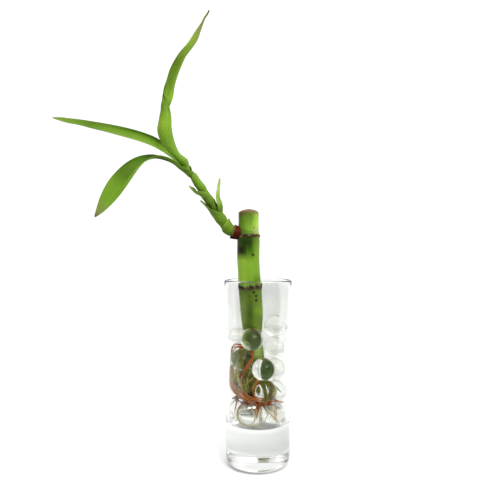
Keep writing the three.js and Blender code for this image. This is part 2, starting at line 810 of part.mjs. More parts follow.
const beads = settledBeads();
beads.forEach((bead, i) => {
  const ball = new THREE.IcosahedronGeometry(bead.size, bead.size > BEAD_RADIUS / 2 ? 2 : 1);
  const name = `bead_${String(i + 1).padStart(2, '0')}`;
  addPiece(name, ball.translate(bead.x, bead.y, bead.z), '#eef2ee', 0.05);
});

addPiece('roots', roots(beads), '#c46a2c', 0.6);

// The foot of the shoot follows the swell of the stalk's upper node.
const stalkRoom = solidFrom(stalk(GAP));
const cutToStalk = (geometry) => geometryFrom(largest(solidFrom(geometry).subtract(stalkRoom)));
addPiece('shoot_stem', cutToStalk(shootStem()), '#7fae3f', 0.45);
LEAVES.forEach((one) => {
  const geometry = leaf(one);
  addPiece(one.name, one.name === 'bud_scale' ? cutToStalk(geometry) : geometry, one.colour, 0.4);
});

export default model;
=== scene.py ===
# %% [markdown]
# # Lucky bamboo in a glass vase
# The plant is a cut cane that has rooted among clear water beads in a tall glass, with one leafy
# side shoot. The CAD frame gives every piece its place and size. This script dresses that frame:
# it makes finer meshes for the same pieces, adds the finest roots, and gives each piece the finish
# of the real material.

# %% Load the frame
import json
import math
import random

import bmesh
import bpy
import numpy as np
from mathutils import Matrix, Vector, noise


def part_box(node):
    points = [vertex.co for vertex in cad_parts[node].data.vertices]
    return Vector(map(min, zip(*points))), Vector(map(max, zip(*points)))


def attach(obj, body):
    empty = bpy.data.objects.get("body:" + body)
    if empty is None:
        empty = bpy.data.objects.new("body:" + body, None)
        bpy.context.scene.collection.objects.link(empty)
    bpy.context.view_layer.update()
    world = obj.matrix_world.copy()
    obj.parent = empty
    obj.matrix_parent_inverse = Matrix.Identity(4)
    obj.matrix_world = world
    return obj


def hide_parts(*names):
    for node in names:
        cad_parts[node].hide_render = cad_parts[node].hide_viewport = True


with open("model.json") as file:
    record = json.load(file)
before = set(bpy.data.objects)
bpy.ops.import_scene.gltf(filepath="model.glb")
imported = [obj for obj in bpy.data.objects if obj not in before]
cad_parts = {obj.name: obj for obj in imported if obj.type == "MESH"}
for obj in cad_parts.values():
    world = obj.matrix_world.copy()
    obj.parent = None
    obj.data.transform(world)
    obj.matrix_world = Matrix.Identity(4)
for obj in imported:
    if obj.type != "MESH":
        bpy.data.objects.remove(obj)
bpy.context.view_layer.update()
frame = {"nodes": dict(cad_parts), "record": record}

scene = bpy.context.scene
MM = 0.001
print("nodes in the frame:", len(frame["nodes"]))

# %% [markdown]
# ## Camera
# The picture shows the vase's rim as an almost flat ellipse and its foot as a rounder one, so the
# camera stands level with the middle of the plant, a little over 37 cm in front of it. A lens as
# long as the sensor is wide gives the same gentle perspective.

# %% Camera
SENSOR = 36.0
PICTURE_SIDE = 500
FOCAL_PIXELS = 503
camera_data = bpy.data.cameras.new("camera")
camera_data.sensor_width = SENSOR
camera_data.lens = SENSOR * FOCAL_PIXELS / PICTURE_SIDE
camera_data.clip_start = 0.01
camera = bpy.data.objects.new("camera", camera_data)
camera.location = (-5.9 * MM, -373 * MM, 157 * MM)
camera.rotation_euler = (math.radians(90), 0, 0)
scene.collection.objects.link(camera)
scene.camera = camera
print("lens", round(camera_data.lens, 2), "mm")

# %% [markdown]
# ## Colours and nodes
# Colours are picked as sRGB hex values, as a paint chip gives them, and one function turns them to
# the linear values that the shader works in. One small helper adds a node with its settings and
# its links, so that a material reads as a short list.

# %% Colour and node helpers
def linear(hex_colour):
    """An sRGB hex colour as linear RGBA."""
    parts = [int(hex_colour[i:i + 2], 16) / 255 for i in (1, 3, 5)]
    return tuple(c / 12.92 if c <= 0.04045 else ((c + 0.055) / 1.055) ** 2.4 for c in parts) + (1.0,)


def add_node(tree, kind, inputs=None, **settings):
    """Adds a node. A socket among the inputs is linked, and any other value is set."""
    made = tree.nodes.new(kind)
    for name, value in settings.items():
        setattr(made, name, value)
    for key, value in (inputs or {}).items():
        if isinstance(value, bpy.types.NodeSocket):
            tree.links.new(value, made.inputs[key])
        else:
            made.inputs[key].default_value = value
    return made


def set_ramp(ramp_node, stops):
    """Gives a colour ramp its stops, as (place, hex colour) pairs."""
    elements = ramp_node.color_ramp.elements
    elements[0].position, elements[0].color = stops[0][0], linear(stops[0][1])
    elements[1].position, elements[1].color = stops[-1][0], linear(stops[-1][1])
    for place, hex_colour in stops[1:-1]:
        elements.new(place).color = linear(hex_colour)
    return ramp_node.outputs["Color"]


def new_material(name, **constants):
    """A material with one Principled shader. The constants are set on its own sockets."""
    material = bpy.data.materials.new(name)
    material.use_nodes = True
    shader = material.node_tree.nodes["Principled BSDF"]
    for key, value in constants.items():
        shader.inputs[key.replace("_", " ")].default_value = value
    return material, material.node_tree, shader


# %% [markdown]
# ## Studio
# A plain pale sheet of paper and soft white light from everywhere, strongest from above, weaker on
# the camera's side. Clear glass has no colour of its own: what draws its edges is that weaker side,
# which the walls bend into view. The sheet ends 13 cm in front of the vase's middle, out of the
# picture, and below its edge it is dark, so that the glass mirrors no pale haze over the cane. Where
# a view looks past the sheet, it sees plain white. A soft lamp at the right front gives the cane and
# the leaves their sheen, and light may pass many walls of glass and gel before it is given up. The
# paper is matte and almost white, with a faint uneven tone from its fibres.

# %% World
world = bpy.data.worlds.new("studio")
scene.world = world
world.use_nodes = True
tree = world.node_tree
direction = add_node(tree, "ShaderNodeTexCoord").outputs["Generated"]
towards = add_node(tree, "ShaderNodeSeparateXYZ", {"Vector": direction}).outputs
low_band = add_node(tree, "ShaderNodeMapRange", {
    "Value": towards["Y"], "From Min": -0.7, "From Max": 0.75, "To Min": 0.46, "To Max": 1.08,
}, interpolation_type="SMOOTHSTEP").outputs["Result"]
overhead = add_node(tree, "ShaderNodeMapRange", {
    "Value": towards["Z"], "From Min": 0.05, "From Max": 0.45}, interpolation_type="SMOOTHSTEP")
brightness = add_node(tree, "ShaderNodeMix", {
    "Factor": overhead.outputs["Result"], "A": low_band, "B": 1.4}).outputs["Result"]
under = add_node(tree, "ShaderNodeMapRange", {
    "Value": towards["Z"], "From Min": -0.12, "From Max": -0.02, "To Min": 0.15, "To Max": 1.0,
}).outputs["Result"]
light = add_node(tree, "ShaderNodeMath", {0: brightness, 1: under}, operation="MULTIPLY").outputs[0]
seen_bare = add_node(tree, "ShaderNodeLightPath").outputs["Is Camera Ray"]
backdrop = add_node(tree, "ShaderNodeMix", {"Factor": seen_bare, "A": light, "B": 1.08})
tree.links.new(backdrop.outputs["Result"], tree.nodes["Background"].inputs["Color"])
print("world", world.name)

# %% Paper sheet
FLOOR_HALF = 60
FLOOR_FRONT = 130 * MM
FLOOR_DROP = 0.2 * MM
floor_bm = bmesh.new()
bmesh.ops.create_grid(floor_bm, x_segments=1, y_segments=1, size=FLOOR_HALF)
floor_mesh = bpy.data.meshes.new("floor")
floor_bm.to_mesh(floor_mesh)
floor_bm.free()
floor = bpy.data.objects.new("floor", floor_mesh)
floor.location = (0, FLOOR_HALF - FLOOR_FRONT, -FLOOR_DROP)
scene.collection.objects.link(floor)
paper, tree, shader = new_material("seamless paper, matte", Roughness=0.9)
PAPER_FIBRE = 1 / (0.8 * MM)
place = add_node(tree, "ShaderNodeTexCoord").outputs["Object"]
pulp = add_node(tree, "ShaderNodeTexNoise", {"Vector": place, "Scale": PAPER_FIBRE, "Detail": 2.0})
white = add_node(tree, "ShaderNodeValToRGB", {"Fac": pulp.outputs["Fac"]})
tree.links.new(set_ramp(white, [(0.3, "#e6e6e6"), (0.7, "#eaeaea")]), shader.inputs["Base Color"])
floor_mesh.materials.append(paper)
print("sheet ends", FLOOR_FRONT / MM, "mm in front of the vase's axis")

# %% Lamp and view
lamp_data = bpy.data.lights.new("softbox", "AREA")
lamp_data.shape = "DISK"
lamp_data.size = 0.9
lamp_data.energy = 12
lamp = bpy.data.objects.new("softbox", lamp_data)
lamp.location = (0.5, -0.75, 0.8)
lamp_aim = Vector((-0.03, 0, 0.17)) - lamp.location
lamp.rotation_euler = lamp_aim.to_track_quat("-Z", "Y").to_euler()
scene.collection.objects.link(lamp)
scene.cycles.max_bounces = 48
scene.cycles.transmission_bounces = 48
scene.cycles.glossy_bounces = 24
scene.view_settings.view_transform = "Standard"
scene.view_settings.gamma = 0.88
print("lamp", lamp_data.energy, "W")

# %% [markdown]
# ## From mesh to piece
# Each finished mesh is linked, shaded smooth, given its material and tied to the CAD body, and the
# plain CAD solid that it stands for is hidden.

# %% Helper that finishes a piece
def finish_piece(name, bm, material, slot, *replaced):
    """Turns a bmesh into a piece that rides on the root body and stands for the CAD nodes named."""
    mesh = bpy.data.meshes.new(name)
    bm.to_mesh(mesh)
    bm.free()
    mesh.polygons.foreach_set("use_smooth", [True] * len(mesh.polygons))
    mesh.materials.append(material)
    piece = bpy.data.objects.new(name, mesh)
    scene.collection.objects.link(piece)
    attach(piece, "root")
    if replaced:
        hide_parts(*replaced)
    print(name, len(mesh.polygons), "faces")
    return piece


# %% [markdown]
# ## Vase
# The vase is pressed soda-lime glass: a tube that widens a little upwards on a thick clear base
# with a rounded foot. A turned thing is made from half its outline, spun round the axis. The CAD
# solid has 48 flat sides, which would bend the view in strips, so this one is spun in 160 steps.

# %% Vase profile and spin
VASE_HEIGHT = 135 * MM
VASE_TOP_RADIUS = 25 * MM
VASE_FOOT_RADIUS = 23.6 * MM
VASE_WALL = 2.2 * MM
VASE_BASE = 31 * MM
FOOT_ROUNDING = 5.6 * MM
FLOOR_ROUNDING = 2 * MM


def vase_outer(z):
    return VASE_FOOT_RADIUS + (VASE_TOP_RADIUS - VASE_FOOT_RADIUS) * z / VASE_HEIGHT


def vase_inner(z):
    return vase_outer(z) - VASE_WALL


def arc(radius, height, size, start, end, steps):
    """Points of a rounding, as (radius, height) pairs, between two angles in degrees."""
    angles = np.radians(np.linspace(start, end, steps + 1))
    return [(radius + size * math.cos(a), height + size * math.sin(a)) for a in angles]


def spin_profile(profile, steps):
    """Spins (radius, height) points that start and end on the axis into a closed skin."""
    bm = bmesh.new()
    corners = [bm.verts.new((radius, 0, height)) for radius, height in profile]
    edges = [bm.edges.new(pair) for pair in zip(corners, corners[1:])]
    bmesh.ops.spin(bm, geom=corners + edges, cent=(0, 0, 0), axis=(0, 0, 1), dvec=(0, 0, 0),
                   angle=math.tau, steps=steps, use_merge=True, use_duplicate=False)
    bmesh.ops.remove_doubles(bm, verts=bm.verts, dist=1e-6)
    bmesh.ops.recalc_face_normals(bm, faces=bm.faces)
    return bm


lip = VASE_WALL / 2
vase_profile = [(0, 0)]
vase_profile += arc(vase_outer(FOOT_ROUNDING) - FOOT_ROUNDING, FOOT_ROUNDING, FOOT_ROUNDING, -90, 0, 14)
vase_profile += [(vase_outer(z), z) for z in np.linspace(FOOT_ROUNDING, VASE_HEIGHT - lip, 24)[1:-1]]
vase_profile += arc(vase_outer(VASE_HEIGHT - lip) - lip, VASE_HEIGHT - lip, lip, 0, 180, 12)
inner_start = VASE_BASE + FLOOR_ROUNDING
vase_profile += [(vase_inner(z), z) for z in np.linspace(VASE_HEIGHT - lip, inner_start, 24)[1:-1]]
vase_profile += arc(vase_inner(VASE_BASE) - FLOOR_ROUNDING, inner_start, FLOOR_ROUNDING, 0, -90, 8)
vase_profile += [(0, VASE_BASE)]
vase_bm = spin_profile(vase_profile, 160)
print("vase outline:", len(vase_profile), "points")

# %% [markdown]
# ### Finish of the vase
# Pressed glass is smooth and clear, with an index of about 1.5. Its skin is never quite even: slow
# waves some 12 mm long make the reflections wander, and dried water leaves faint dull spots. Thick
# glass looks a little greyer than a thin wall, so the base has a darker tint.

# %% Soda-lime glass
glass, tree, shader = new_material(
    "soda-lime glass, pressed and polished", IOR=1.5, Transmission_Weight=1.0, Roughness=0.0,
    Specular_IOR_Level=0.2)
place = add_node(tree, "ShaderNodeTexCoord").outputs["Object"]
SLOW_WAVE = 1 / (12 * MM)
WATER_SPOT = 1 / (1.6 * MM)
waves = add_node(tree, "ShaderNodeTexNoise", {"Vector": place, "Scale": SLOW_WAVE, "Detail": 1.0})
spots = add_node(tree, "ShaderNodeTexNoise", {"Vector": place, "Scale": WATER_SPOT, "Detail": 2.0})
dulled = add_node(tree, "ShaderNodeMapRange", {
    "Value": spots.outputs["Fac"], "From Min": 0.62, "From Max": 0.75, "To Min": 0.0, "To Max": 0.12})
bump = add_node(tree, "ShaderNodeBump", {
    "Height": waves.outputs["Fac"], "Strength": 0.12, "Distance": 0.3 * MM})
tint = add_node(tree, "ShaderNodeValToRGB", {"Fac": waves.outputs["Fac"]})
wall_tint = set_ramp(tint, [(0.3, "#e9eae8"), (0.7, "#eff0ee")])
up = add_node(tree, "ShaderNodeSeparateXYZ", {"Vector": place}).outputs["Z"]
above_base = add_node(tree, "ShaderNodeMapRange", {
    "Value": up, "From Min": VASE_BASE - 2.5 * MM, "From Max": VASE_BASE - 0.5 * MM}).outputs["Result"]
thick_or_thin = add_node(tree, "ShaderNodeMix", {
    "Factor": above_base, "A": linear("#d2d4d1"), "B": wall_tint}, data_type="RGBA")
tree.links.new(thick_or_thin.outputs["Result"], shader.inputs["Base Color"])
tree.links.new(dulled.outputs["Result"], shader.inputs["Roughness"])
tree.links.new(bump.outputs["Normal"], shader.inputs["Normal"])
finish_piece("vase_glass", vase_bm, glass, "clear_glass", "vase")

# %% [markdown]
# ## Beads
# Water beads are balls of clear gel, almost all water, so they bend light a little more than water
# does, with an index of 1.36. Each one works as a lens that shows the cane upside down. A bead that
# is smooth enough for that is an icosphere with many small faces, where the CAD bead settled.

# %% Water gel and beads
gel, tree, shader = new_material(
    "water gel, swollen and wet", IOR=1.36, Transmission_Weight=1.0, Roughness=0.0)
place = add_node(tree, "ShaderNodeTexCoord").outputs["Object"]
GEL_CLOUD = 1 / (5 * MM)
cloud = add_node(tree, "ShaderNodeTexNoise", {"Vector": place, "Scale": GEL_CLOUD, "Detail": 2.0})
tint = add_node(tree, "ShaderNodeValToRGB", {"Fac": cloud.outputs["Fac"]})
tree.links.new(set_ramp(tint, [(0.3, "#f6f7f3"), (0.7, "#fbfcfa")]), shader.inputs["Base Color"])
bump = add_node(tree, "ShaderNodeBump", {
    "Height": cloud.outputs["Fac"], "Strength": 0.05, "Distance": 0.2 * MM})
tree.links.new(bump.outputs["Normal"], shader.inputs["Normal"])

BEAD_NODES = sorted(name for name in frame["nodes"] if name.startswith("bead_"))
beads = []
for name in BEAD_NODES:
    low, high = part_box(name)
    centre = (low + high) / 2
    size = max((v.co - centre).length for v in frame["nodes"][name].data.vertices)
    beads.append((centre, size))
    bm = bmesh.new()
    bmesh.ops.create_icosphere(bm, subdivisions=5, radius=size, matrix=Matrix.Translation(centre))
    finish_piece("gel_" + name, bm, gel, "gel_bead", name)
print("beads:", len(beads))

# %% [markdown]
# ## Greens of the plant
# Sixteen greens and browns are enough for the rind and the leaves, from the dark rind in the shade
# of the shoot to the pale tips of the bracts. A ramp only names those that it passes through.

# %% Named greens
GREENS = {
    "shade": "#2b420d",
    "dark": "#476a10",
    "deep": "#5c7824",
    "leaf": "#6c8b2c",
    "dusty": "#728c3c",
    "fresh": "#779b32",
    "sheath": "#7e9843",
    "bright": "#84aa3a",
    "soft": "#90ab4c",
    "lime": "#9dbe46",
    "faded": "#9faa69",
    "pale": "#b2ca74",
    "tip": "#cce584",
    "rust": "#5c2412",
    "dry": "#715b3e",
    "straw": "#937d50",
}
print("greens:", len(GREENS))

# %% [markdown]
# ## Cane
# The cane is the stem of a dracaena: a green rind with two nodes, where old leaves left a ragged
# brown scar, and a cut top that has dried to a dome. It is close to a turned thing, so its outline
# is spun, and then each corner is moved: out and in round the scars, and sideways along the cane's
# slightly bent middle line. A scar is its height, how far it swells and over what height.

# %% Cane
CANE_FOOT = 50
CANE_TOP = 187.6
CANE_AXIS = np.array([
    [50, -2.3, 10], [60, -1.6, 9.9], [72, -1.6, 9.5], [80, -2.4, 8.9], [88, -3.5, 8.3],
    [98, -4.2, 7.9], [111, -4.7, 7.3],
    [128, -6, 6.4], [150, -7.2, 5.6], [187, -6.9, 4],
])
CANE_RADII = np.array([
    [50, 4.8], [51.5, 5.9], [60, 6.3], [72, 7], [80, 7], [91, 6.8], [98, 7.5], [105, 8.2], [112, 8.6],
    [126, 8.7], [140, 8.35], [164, 8.4], [170, 7.7], [178, 7.5], [184.8, 7.55], [185.6, 7.1],
])
SCARS = [(128.8, 0.55, 1.5), (167.8, 0.6, 1.3)]


def cane_axis(z):
    """Middle of the cane, in millimetres, at a height in millimetres."""
    levels, xs, ys = CANE_AXIS.T
    return np.interp(z, levels, xs), np.interp(z, levels, ys)


def scar_nearness(z, scar):
    return math.exp(-((z - scar[0]) / scar[2]) ** 2)


def cane_radius(z):
    swell = sum(scar[1] * scar_nearness(z, scar) for scar in SCARS)
    return np.interp(z, CANE_RADII[:, 0], CANE_RADII[:, 1]) + swell


heights = np.concatenate([np.linspace(50, 50.9, 4), np.arange(51.5, 184.9, 0.8)])
cane_profile = [(0, CANE_FOOT - 0.6)] + [(cane_radius(z), z) for z in heights]
cane_profile += [(7.4, 185.2), (6.9, 185.7), (6, 186.2), (4.6, 186.9), (2.4, 187.4), (0, CANE_TOP)]
cane_bm = spin_profile([(r * MM, z * MM) for r, z in cane_profile], 96)
for corner in cane_bm.verts:
    x, y, z = (c / MM for c in corner.co)
    angle = math.atan2(y, x)
    radius = math.hypot(x, y)
    if radius > 6 and z < 185:
        wave = 0.16 * math.sin(3 * angle + 1) + 0.12 * math.sin(7 * angle + 2)
        torn = 0.22 * noise.noise(Vector((5 * math.cos(angle), 5 * math.sin(angle), z * 1.3)))
        near = sum(scar_nearness(z, scar) for scar in SCARS)
        ridges = 0.05 * noise.noise(Vector((9 * math.cos(angle), 9 * math.sin(angle), z * 0.05)))
        radius += near * (wave + torn) + ridges
    if radius < 7.2 and z > 185:
        z += 0.25 * noise.noise(Vector((x * 0.6, y * 0.6, 3.0)))
    mid_x, mid_y = cane_axis(z)
    corner.co = Vector((mid_x + radius * math.cos(angle), mid_y + radius * math.sin(angle), z)) * MM
print("cane outline:", len(cane_profile), "points")

# %% [markdown]
# ### Finish of the cane
# The rind is waxy and satin, with fibres that run lengthwise. Its green changes with height and
# from side to side: three ramps along the cane, for its flanks and its middle, are mixed by the
# place across it. The greens are partly the rind's own and partly painted light: a painted
# highlight makes the right flank pale low down, and painted shade darkens the left flank and the
# middle just below the shoot. Streaks are stretched noise, drawn a little coarser than real fibres.
# The scars are brown bands whose width wanders, with pale papery parts, and old wounds are dark
# specks, most of them small and five of them in their own places.

# %% Rind
rind, tree, shader = new_material("dracaena rind, waxy", Roughness=0.42, Specular_IOR_Level=0.16)
place = add_node(tree, "ShaderNodeTexCoord").outputs["Object"]
axes = add_node(tree, "ShaderNodeSeparateXYZ", {"Vector": place}).outputs
height = add_node(tree, "ShaderNodeMapRange", {
    "Value": axes["Z"], "From Min": 50 * MM, "From Max": 190 * MM}).outputs["Result"]


def rind_ramp(stops):
    """A ramp up the cane through named greens, at heights in millimetres."""
    ramp_node = add_node(tree, "ShaderNodeValToRGB", {"Fac": height})
    return set_ramp(ramp_node, [((z - 50) / 140, GREENS[tone]) for z, tone in stops])


# Painted shade: the shade stops from 155 to 165 mm, just below the shoot, darken the left flank.
left_flank = rind_ramp([
    (55, "pale"), (98, "pale"), (114, "pale"), (121, "soft"), (127, "leaf"), (132, "lime"),
    (149, "lime"), (155, "shade"), (165, "shade"), (170, "deep"), (174, "fresh"), (181, "leaf"),
    (184.5, "dry")])
# Painted shade: the dark and shade stops from 157 to 168 mm, just below the shoot, darken the middle.
middle_band = rind_ramp([
    (55, "leaf"), (98, "deep"), (104, "fresh"), (110, "deep"), (121, "leaf"), (128, "deep"),
    (132, "fresh"), (147, "bright"), (157, "dark"), (162, "shade"), (168, "shade"),
    (172, "bright"), (181, "leaf"), (184, "deep"), (185.8, "dry")])
# Painted highlight: the pale tip green from 79 to 92 mm lights the right flank low down.
right_flank = rind_ramp([
    (55, "leaf"), (74, "leaf"), (79, "tip"), (92, "tip"), (99, "lime"), (104, "soft"),
    (112, "lime"), (119, "sheath"), (126, "leaf"), (134, "deep"), (141, "fresh"), (157, "fresh"),
    (166, "deep"), (171.5, "faded"), (177, "lime"), (183, "soft"), (185.6, "dry")])
from_left = add_node(tree, "ShaderNodeMapRange", {
    "Value": axes["X"], "From Min": -11.5 * MM, "From Max": -6 * MM}, interpolation_type="SMOOTHSTEP")
to_right = add_node(tree, "ShaderNodeMapRange", {
    "Value": axes["X"], "From Min": -5.5 * MM, "From Max": -1 * MM}, interpolation_type="SMOOTHSTEP")
FIBRE_WIDTH = 1 / (1.4 * MM)
FIBRE_LENGTH = 1 / (22 * MM)
STREAKING = 0.9
stretched = add_node(tree, "ShaderNodeMapping", {
    "Vector": place, "Scale": (FIBRE_WIDTH, FIBRE_WIDTH, FIBRE_LENGTH)}).outputs["Vector"]
fibres = add_node(tree, "ShaderNodeTexNoise", {"Vector": stretched, "Scale": 1.0, "Detail": 4.0})
shift = add_node(tree, "ShaderNodeMath", {0: fibres.outputs["Fac"], 1: 0.5}, operation="SUBTRACT")


def wandering(share):
    """A share between two colours whose border is streaked by the fibres."""
    return add_node(tree, "ShaderNodeMath", {
        0: shift.outputs[0], 1: STREAKING, 2: share.outputs["Result"],
    }, operation="MULTIPLY_ADD", use_clamp=True).outputs[0]


left_half = add_node(tree, "ShaderNodeMix", {
    "Factor": wandering(from_left), "A": left_flank, "B": middle_band}, data_type="RGBA").outputs["Result"]
green = add_node(tree, "ShaderNodeMix", {
    "Factor": wandering(to_right), "A": left_half, "B": right_flank}, data_type="RGBA")
fibre_tone = set_ramp(add_node(tree, "ShaderNodeValToRGB", {"Fac": fibres.outputs["Fac"]}), [
    (0.25, "#dadfd0"), (0.5, "#f4f6f0"), (0.75, "#ffffff")])
streaked = add_node(tree, "ShaderNodeMix", {
    "Factor": 1.0, "A": green.outputs["Result"], "B": fibre_tone}, data_type="RGBA", blend_type="MULTIPLY")

# %% [markdown]
# ### Scars and wounds
# Where a leaf came off, the node keeps a torn brown band, with papery rests that are paler. Wounds
# have healed to dark corky specks. The scars are drier than the rind, so they shine less.

# %% Scars, specks and relief
TEAR = 1 / (2.2 * MM)
TEAR_DEPTH = 5 * MM
SCAR_BANDS = (128.6, 167.6)
torn = add_node(tree, "ShaderNodeTexNoise", {"Vector": place, "Scale": TEAR, "Detail": 3.0})
ragged = add_node(tree, "ShaderNodeMath", {0: torn.outputs["Fac"], 1: 0.5}, operation="SUBTRACT")
uneven = add_node(tree, "ShaderNodeMath", {
    0: ragged.outputs[0], 1: TEAR_DEPTH, 2: axes["Z"]}, operation="MULTIPLY_ADD").outputs[0]
SLOW_TEAR = 1 / (6 * MM)
slow = add_node(tree, "ShaderNodeTexNoise", {"Vector": place, "Scale": SLOW_TEAR, "Detail": 1.0})
width = add_node(tree, "ShaderNodeMapRange", {
    "Value": slow.outputs["Fac"], "From Min": 0.35, "From Max": 0.65, "To Min": 0.9 * MM,
    "To Max": 2.3 * MM}).outputs["Result"]
scar_masks = []
for scar_height in SCAR_BANDS:
    apart = add_node(tree, "ShaderNodeMath", {0: uneven, 1: scar_height * MM}, operation="SUBTRACT")
    distance = add_node(tree, "ShaderNodeMath", {0: apart.outputs[0]}, operation="ABSOLUTE")
    scar_masks.append(add_node(tree, "ShaderNodeMapRange", {
        "Value": distance.outputs[0], "From Min": 0.5 * MM, "From Max": width, "To Min": 1.0, "To Max": 0.0,
    }, interpolation_type="SMOOTHSTEP").outputs["Result"])
scars = add_node(tree, "ShaderNodeMath", {0: scar_masks[0], 1: scar_masks[1]}, operation="MAXIMUM")
bark = set_ramp(add_node(tree, "ShaderNodeValToRGB", {"Fac": torn.outputs["Fac"]}), [
    (0.35, "#20170b"), (0.5, "#44301c"), (0.6, "#6e543c"), (0.72, "#a89878")])
scarred = add_node(tree, "ShaderNodeMix", {
    "Factor": scars.outputs[0], "A": streaked.outputs["Result"], "B": bark}, data_type="RGBA")

SPECK_SPACING = 1 / (7 * MM)
specks = add_node(tree, "ShaderNodeTexVoronoi", {"Vector": place, "Scale": SPECK_SPACING})
marks = add_node(tree, "ShaderNodeMapRange", {
    "Value": specks.outputs["Distance"], "From Min": 0.06, "From Max": 0.1, "To Min": 0.85, "To Max": 0.0,
}).outputs["Result"]
WOUNDS = [(-3.7, 153.3, 1.3), (-13, 157.5, 3.2), (-3, 126, 1.3), (-1.6, 123, 1.2), (-1.4, 119.6, 1.4)]
frayed = add_node(tree, "ShaderNodeMapRange", {
    "Value": torn.outputs["Fac"], "From Min": 0.3, "From Max": 0.7, "To Min": -0.5 * MM, "To Max": 0.5 * MM,
}).outputs["Result"]
for x, z, size in WOUNDS:
    flat = add_node(tree, "ShaderNodeCombineXYZ", {"X": axes["X"], "Y": 0.0, "Z": axes["Z"]})
    away = add_node(tree, "ShaderNodeVectorMath", {
        0: flat.outputs[0], 1: (x * MM, 0, z * MM)}, operation="DISTANCE").outputs["Value"]
    torn_away = add_node(tree, "ShaderNodeMath", {0: away, 1: frayed}, operation="ADD").outputs[0]
    mark = add_node(tree, "ShaderNodeMapRange", {
        "Value": torn_away, "From Min": 0.35 * size * MM, "From Max": size * MM,
        "To Min": 1.0, "To Max": 0.0}).outputs["Result"]
    marks = add_node(tree, "ShaderNodeMath", {0: marks, 1: mark}, operation="MAXIMUM").outputs[0]
specked = add_node(tree, "ShaderNodeMix", {
    "Factor": marks, "A": scarred.outputs["Result"], "B": linear("#2e1a10")}, data_type="RGBA")
tree.links.new(specked.outputs["Result"], shader.inputs["Base Color"])
dryness = add_node(tree, "ShaderNodeMapRange", {
    "Value": scars.outputs[0], "To Min": 0.4, "To Max": 0.85}).outputs["Result"]
tree.links.new(dryness, shader.inputs["Roughness"])
relief = add_node(tree, "ShaderNodeBump", {
    "Height": fibres.outputs["Fac"], "Strength": 0.35, "Distance": 0.15 * MM})
rough_scar = add_node(tree, "ShaderNodeBump", {
    "Height": torn.outputs["Fac"], "Strength": 0.5, "Distance": 0.3 * MM,
    "Normal": relief.outputs["Normal"]})
tree.links.new(rough_scar.outputs["Normal"], shader.inputs["Normal"])
finish_piece("cane", cane_bm, rind, "stalk_skin", "stalk")

# %% [markdown]
# ## Leaf shape
# A dracaena leaf is one sheet: its lower part wraps the stem as a sheath, and its upper part opens
# to a long blade. Each leaf is a flat grid whose corners are carried to a curled surface. Stations
# along the leaf give its place, flat width, how far the section curls and which way it faces, and
# smooth curves run through them. This keeps the CAD leaf's form with many more rows and columns.

# %% Smooth line through stations
def smooth(rows, t):
    """Values at t from 0 to 1 on a smooth line through rows. The first three columns are a place."""
    spans = len(rows) - 1
    step = min(max(t, 0.0), 1.0) * spans
    i = min(int(step), spans - 1)
    w = step - i
    p1, p2 = rows[i], rows[i + 1]
    p0 = rows[i - 1] if i > 0 else 2 * p1 - p2
    p3 = rows[i + 2] if i + 2 <= spans else 2 * p2 - p1
    d0, d1, d2 = (max(np.linalg.norm((b - a)[:3]), 1e-6) ** 0.5 for a, b in ((p0, p1), (p1, p2), (p2, p3)))
    m1 = ((p1 - p0) / d0 - (p2 - p0) / (d0 + d1) + (p2 - p1) / d1) * d1
    m2 = ((p2 - p1) / d1 - (p3 - p1) / (d1 + d2) + (p3 - p2) / d2) * d1
    return p1 + m1 * w + (3 * (p2 - p1) - 2 * m1 - m2) * w ** 2 + (2 * (p1 - p2) + m1 + m2) * w ** 3


SHOOT_LINE = np.array([
    [-13.4, 4, 169.7], [-17.6, 3.6, 170.4], [-22.4, 3, 172.8], [-25.7, 2.4, 177.6],
    [-30.2, 1.8, 185.6], [-35.9, 1.2, 194.4], [-41.1, 0.5, 201.7], [-46.4, -0.4, 208.7],
    [-51, -1.1, 215.7], [-54.9, -1.8, 222.3], [-58.8, -2.6, 228.7],
])
SHOOT_SAMPLES = 600
shoot_points = np.array([smooth(SHOOT_LINE, i / SHOOT_SAMPLES) for i in range(SHOOT_SAMPLES + 1)])
shoot_steps = np.linalg.norm(np.diff(shoot_points, axis=0), axis=1)
shoot_places = np.concatenate([[0], np.cumsum(shoot_steps)])
print("shoot is", round(shoot_places[-1], 1), "mm long")


def unit(vector):
    return vector / max(np.linalg.norm(vector), 1e-9)


def shoot_at(place):
    """Point of the shoot's middle line at a distance along it, in millimetres."""
    return np.array([np.interp(place, shoot_places, shoot_points[:, k]) for k in range(3)])


def shoot_tangent(place):
    reach = 0.6
    return unit(shoot_at(place + reach) - shoot_at(place - reach))


def facing(tangent, turn):
    """Direction square to a tangent: a turn of 0 faces the viewer, and 90 faces right or up."""
    front = unit(np.array([0, -1, 0]) + tangent * tangent[1])
    side = np.cross(tangent, front)
    return front * math.cos(math.radians(turn)) + side * math.sin(math.radians(turn))


# %% [markdown]
# ### Stations of sheaths and blades
# A sheath's stations ride on the shoot: place along it, radius, degrees of wrap and turn. A blade's
# stations are places in the air: the middle of its back, its flat width, wrap and turn.

# %% Leaf stations
def sheath_station(place, radius, wrap, turn):
    tangent = shoot_tangent(place)
    point = shoot_at(place) - facing(tangent, turn) * radius
    return np.array([*point, radius * math.radians(wrap), wrap, turn, *tangent])


def leaf_stations(sheath, blade):
    """Rows of place, width, wrap, turn and tangent, with one more between each pair of a sheath."""
    closer = []
    for i, row in enumerate(sheath):
        if i:
            closer.append((np.array(row) + np.array(sheath[i - 1])) / 2)
        closer.append(np.array(row))
    rows = [sheath_station(*row) for row in closer]
    rows += [np.array([*row, 0, 0, 0], float) for row in blade]
    line = np.array([row[:3] for row in rows])
    for i in range(len(closer), len(rows)):
        t = i / (len(rows) - 1)
        rows[i][6:] = unit(smooth(line, t + 1e-3) - smooth(line, t - 1e-3))
    return np.array(rows)


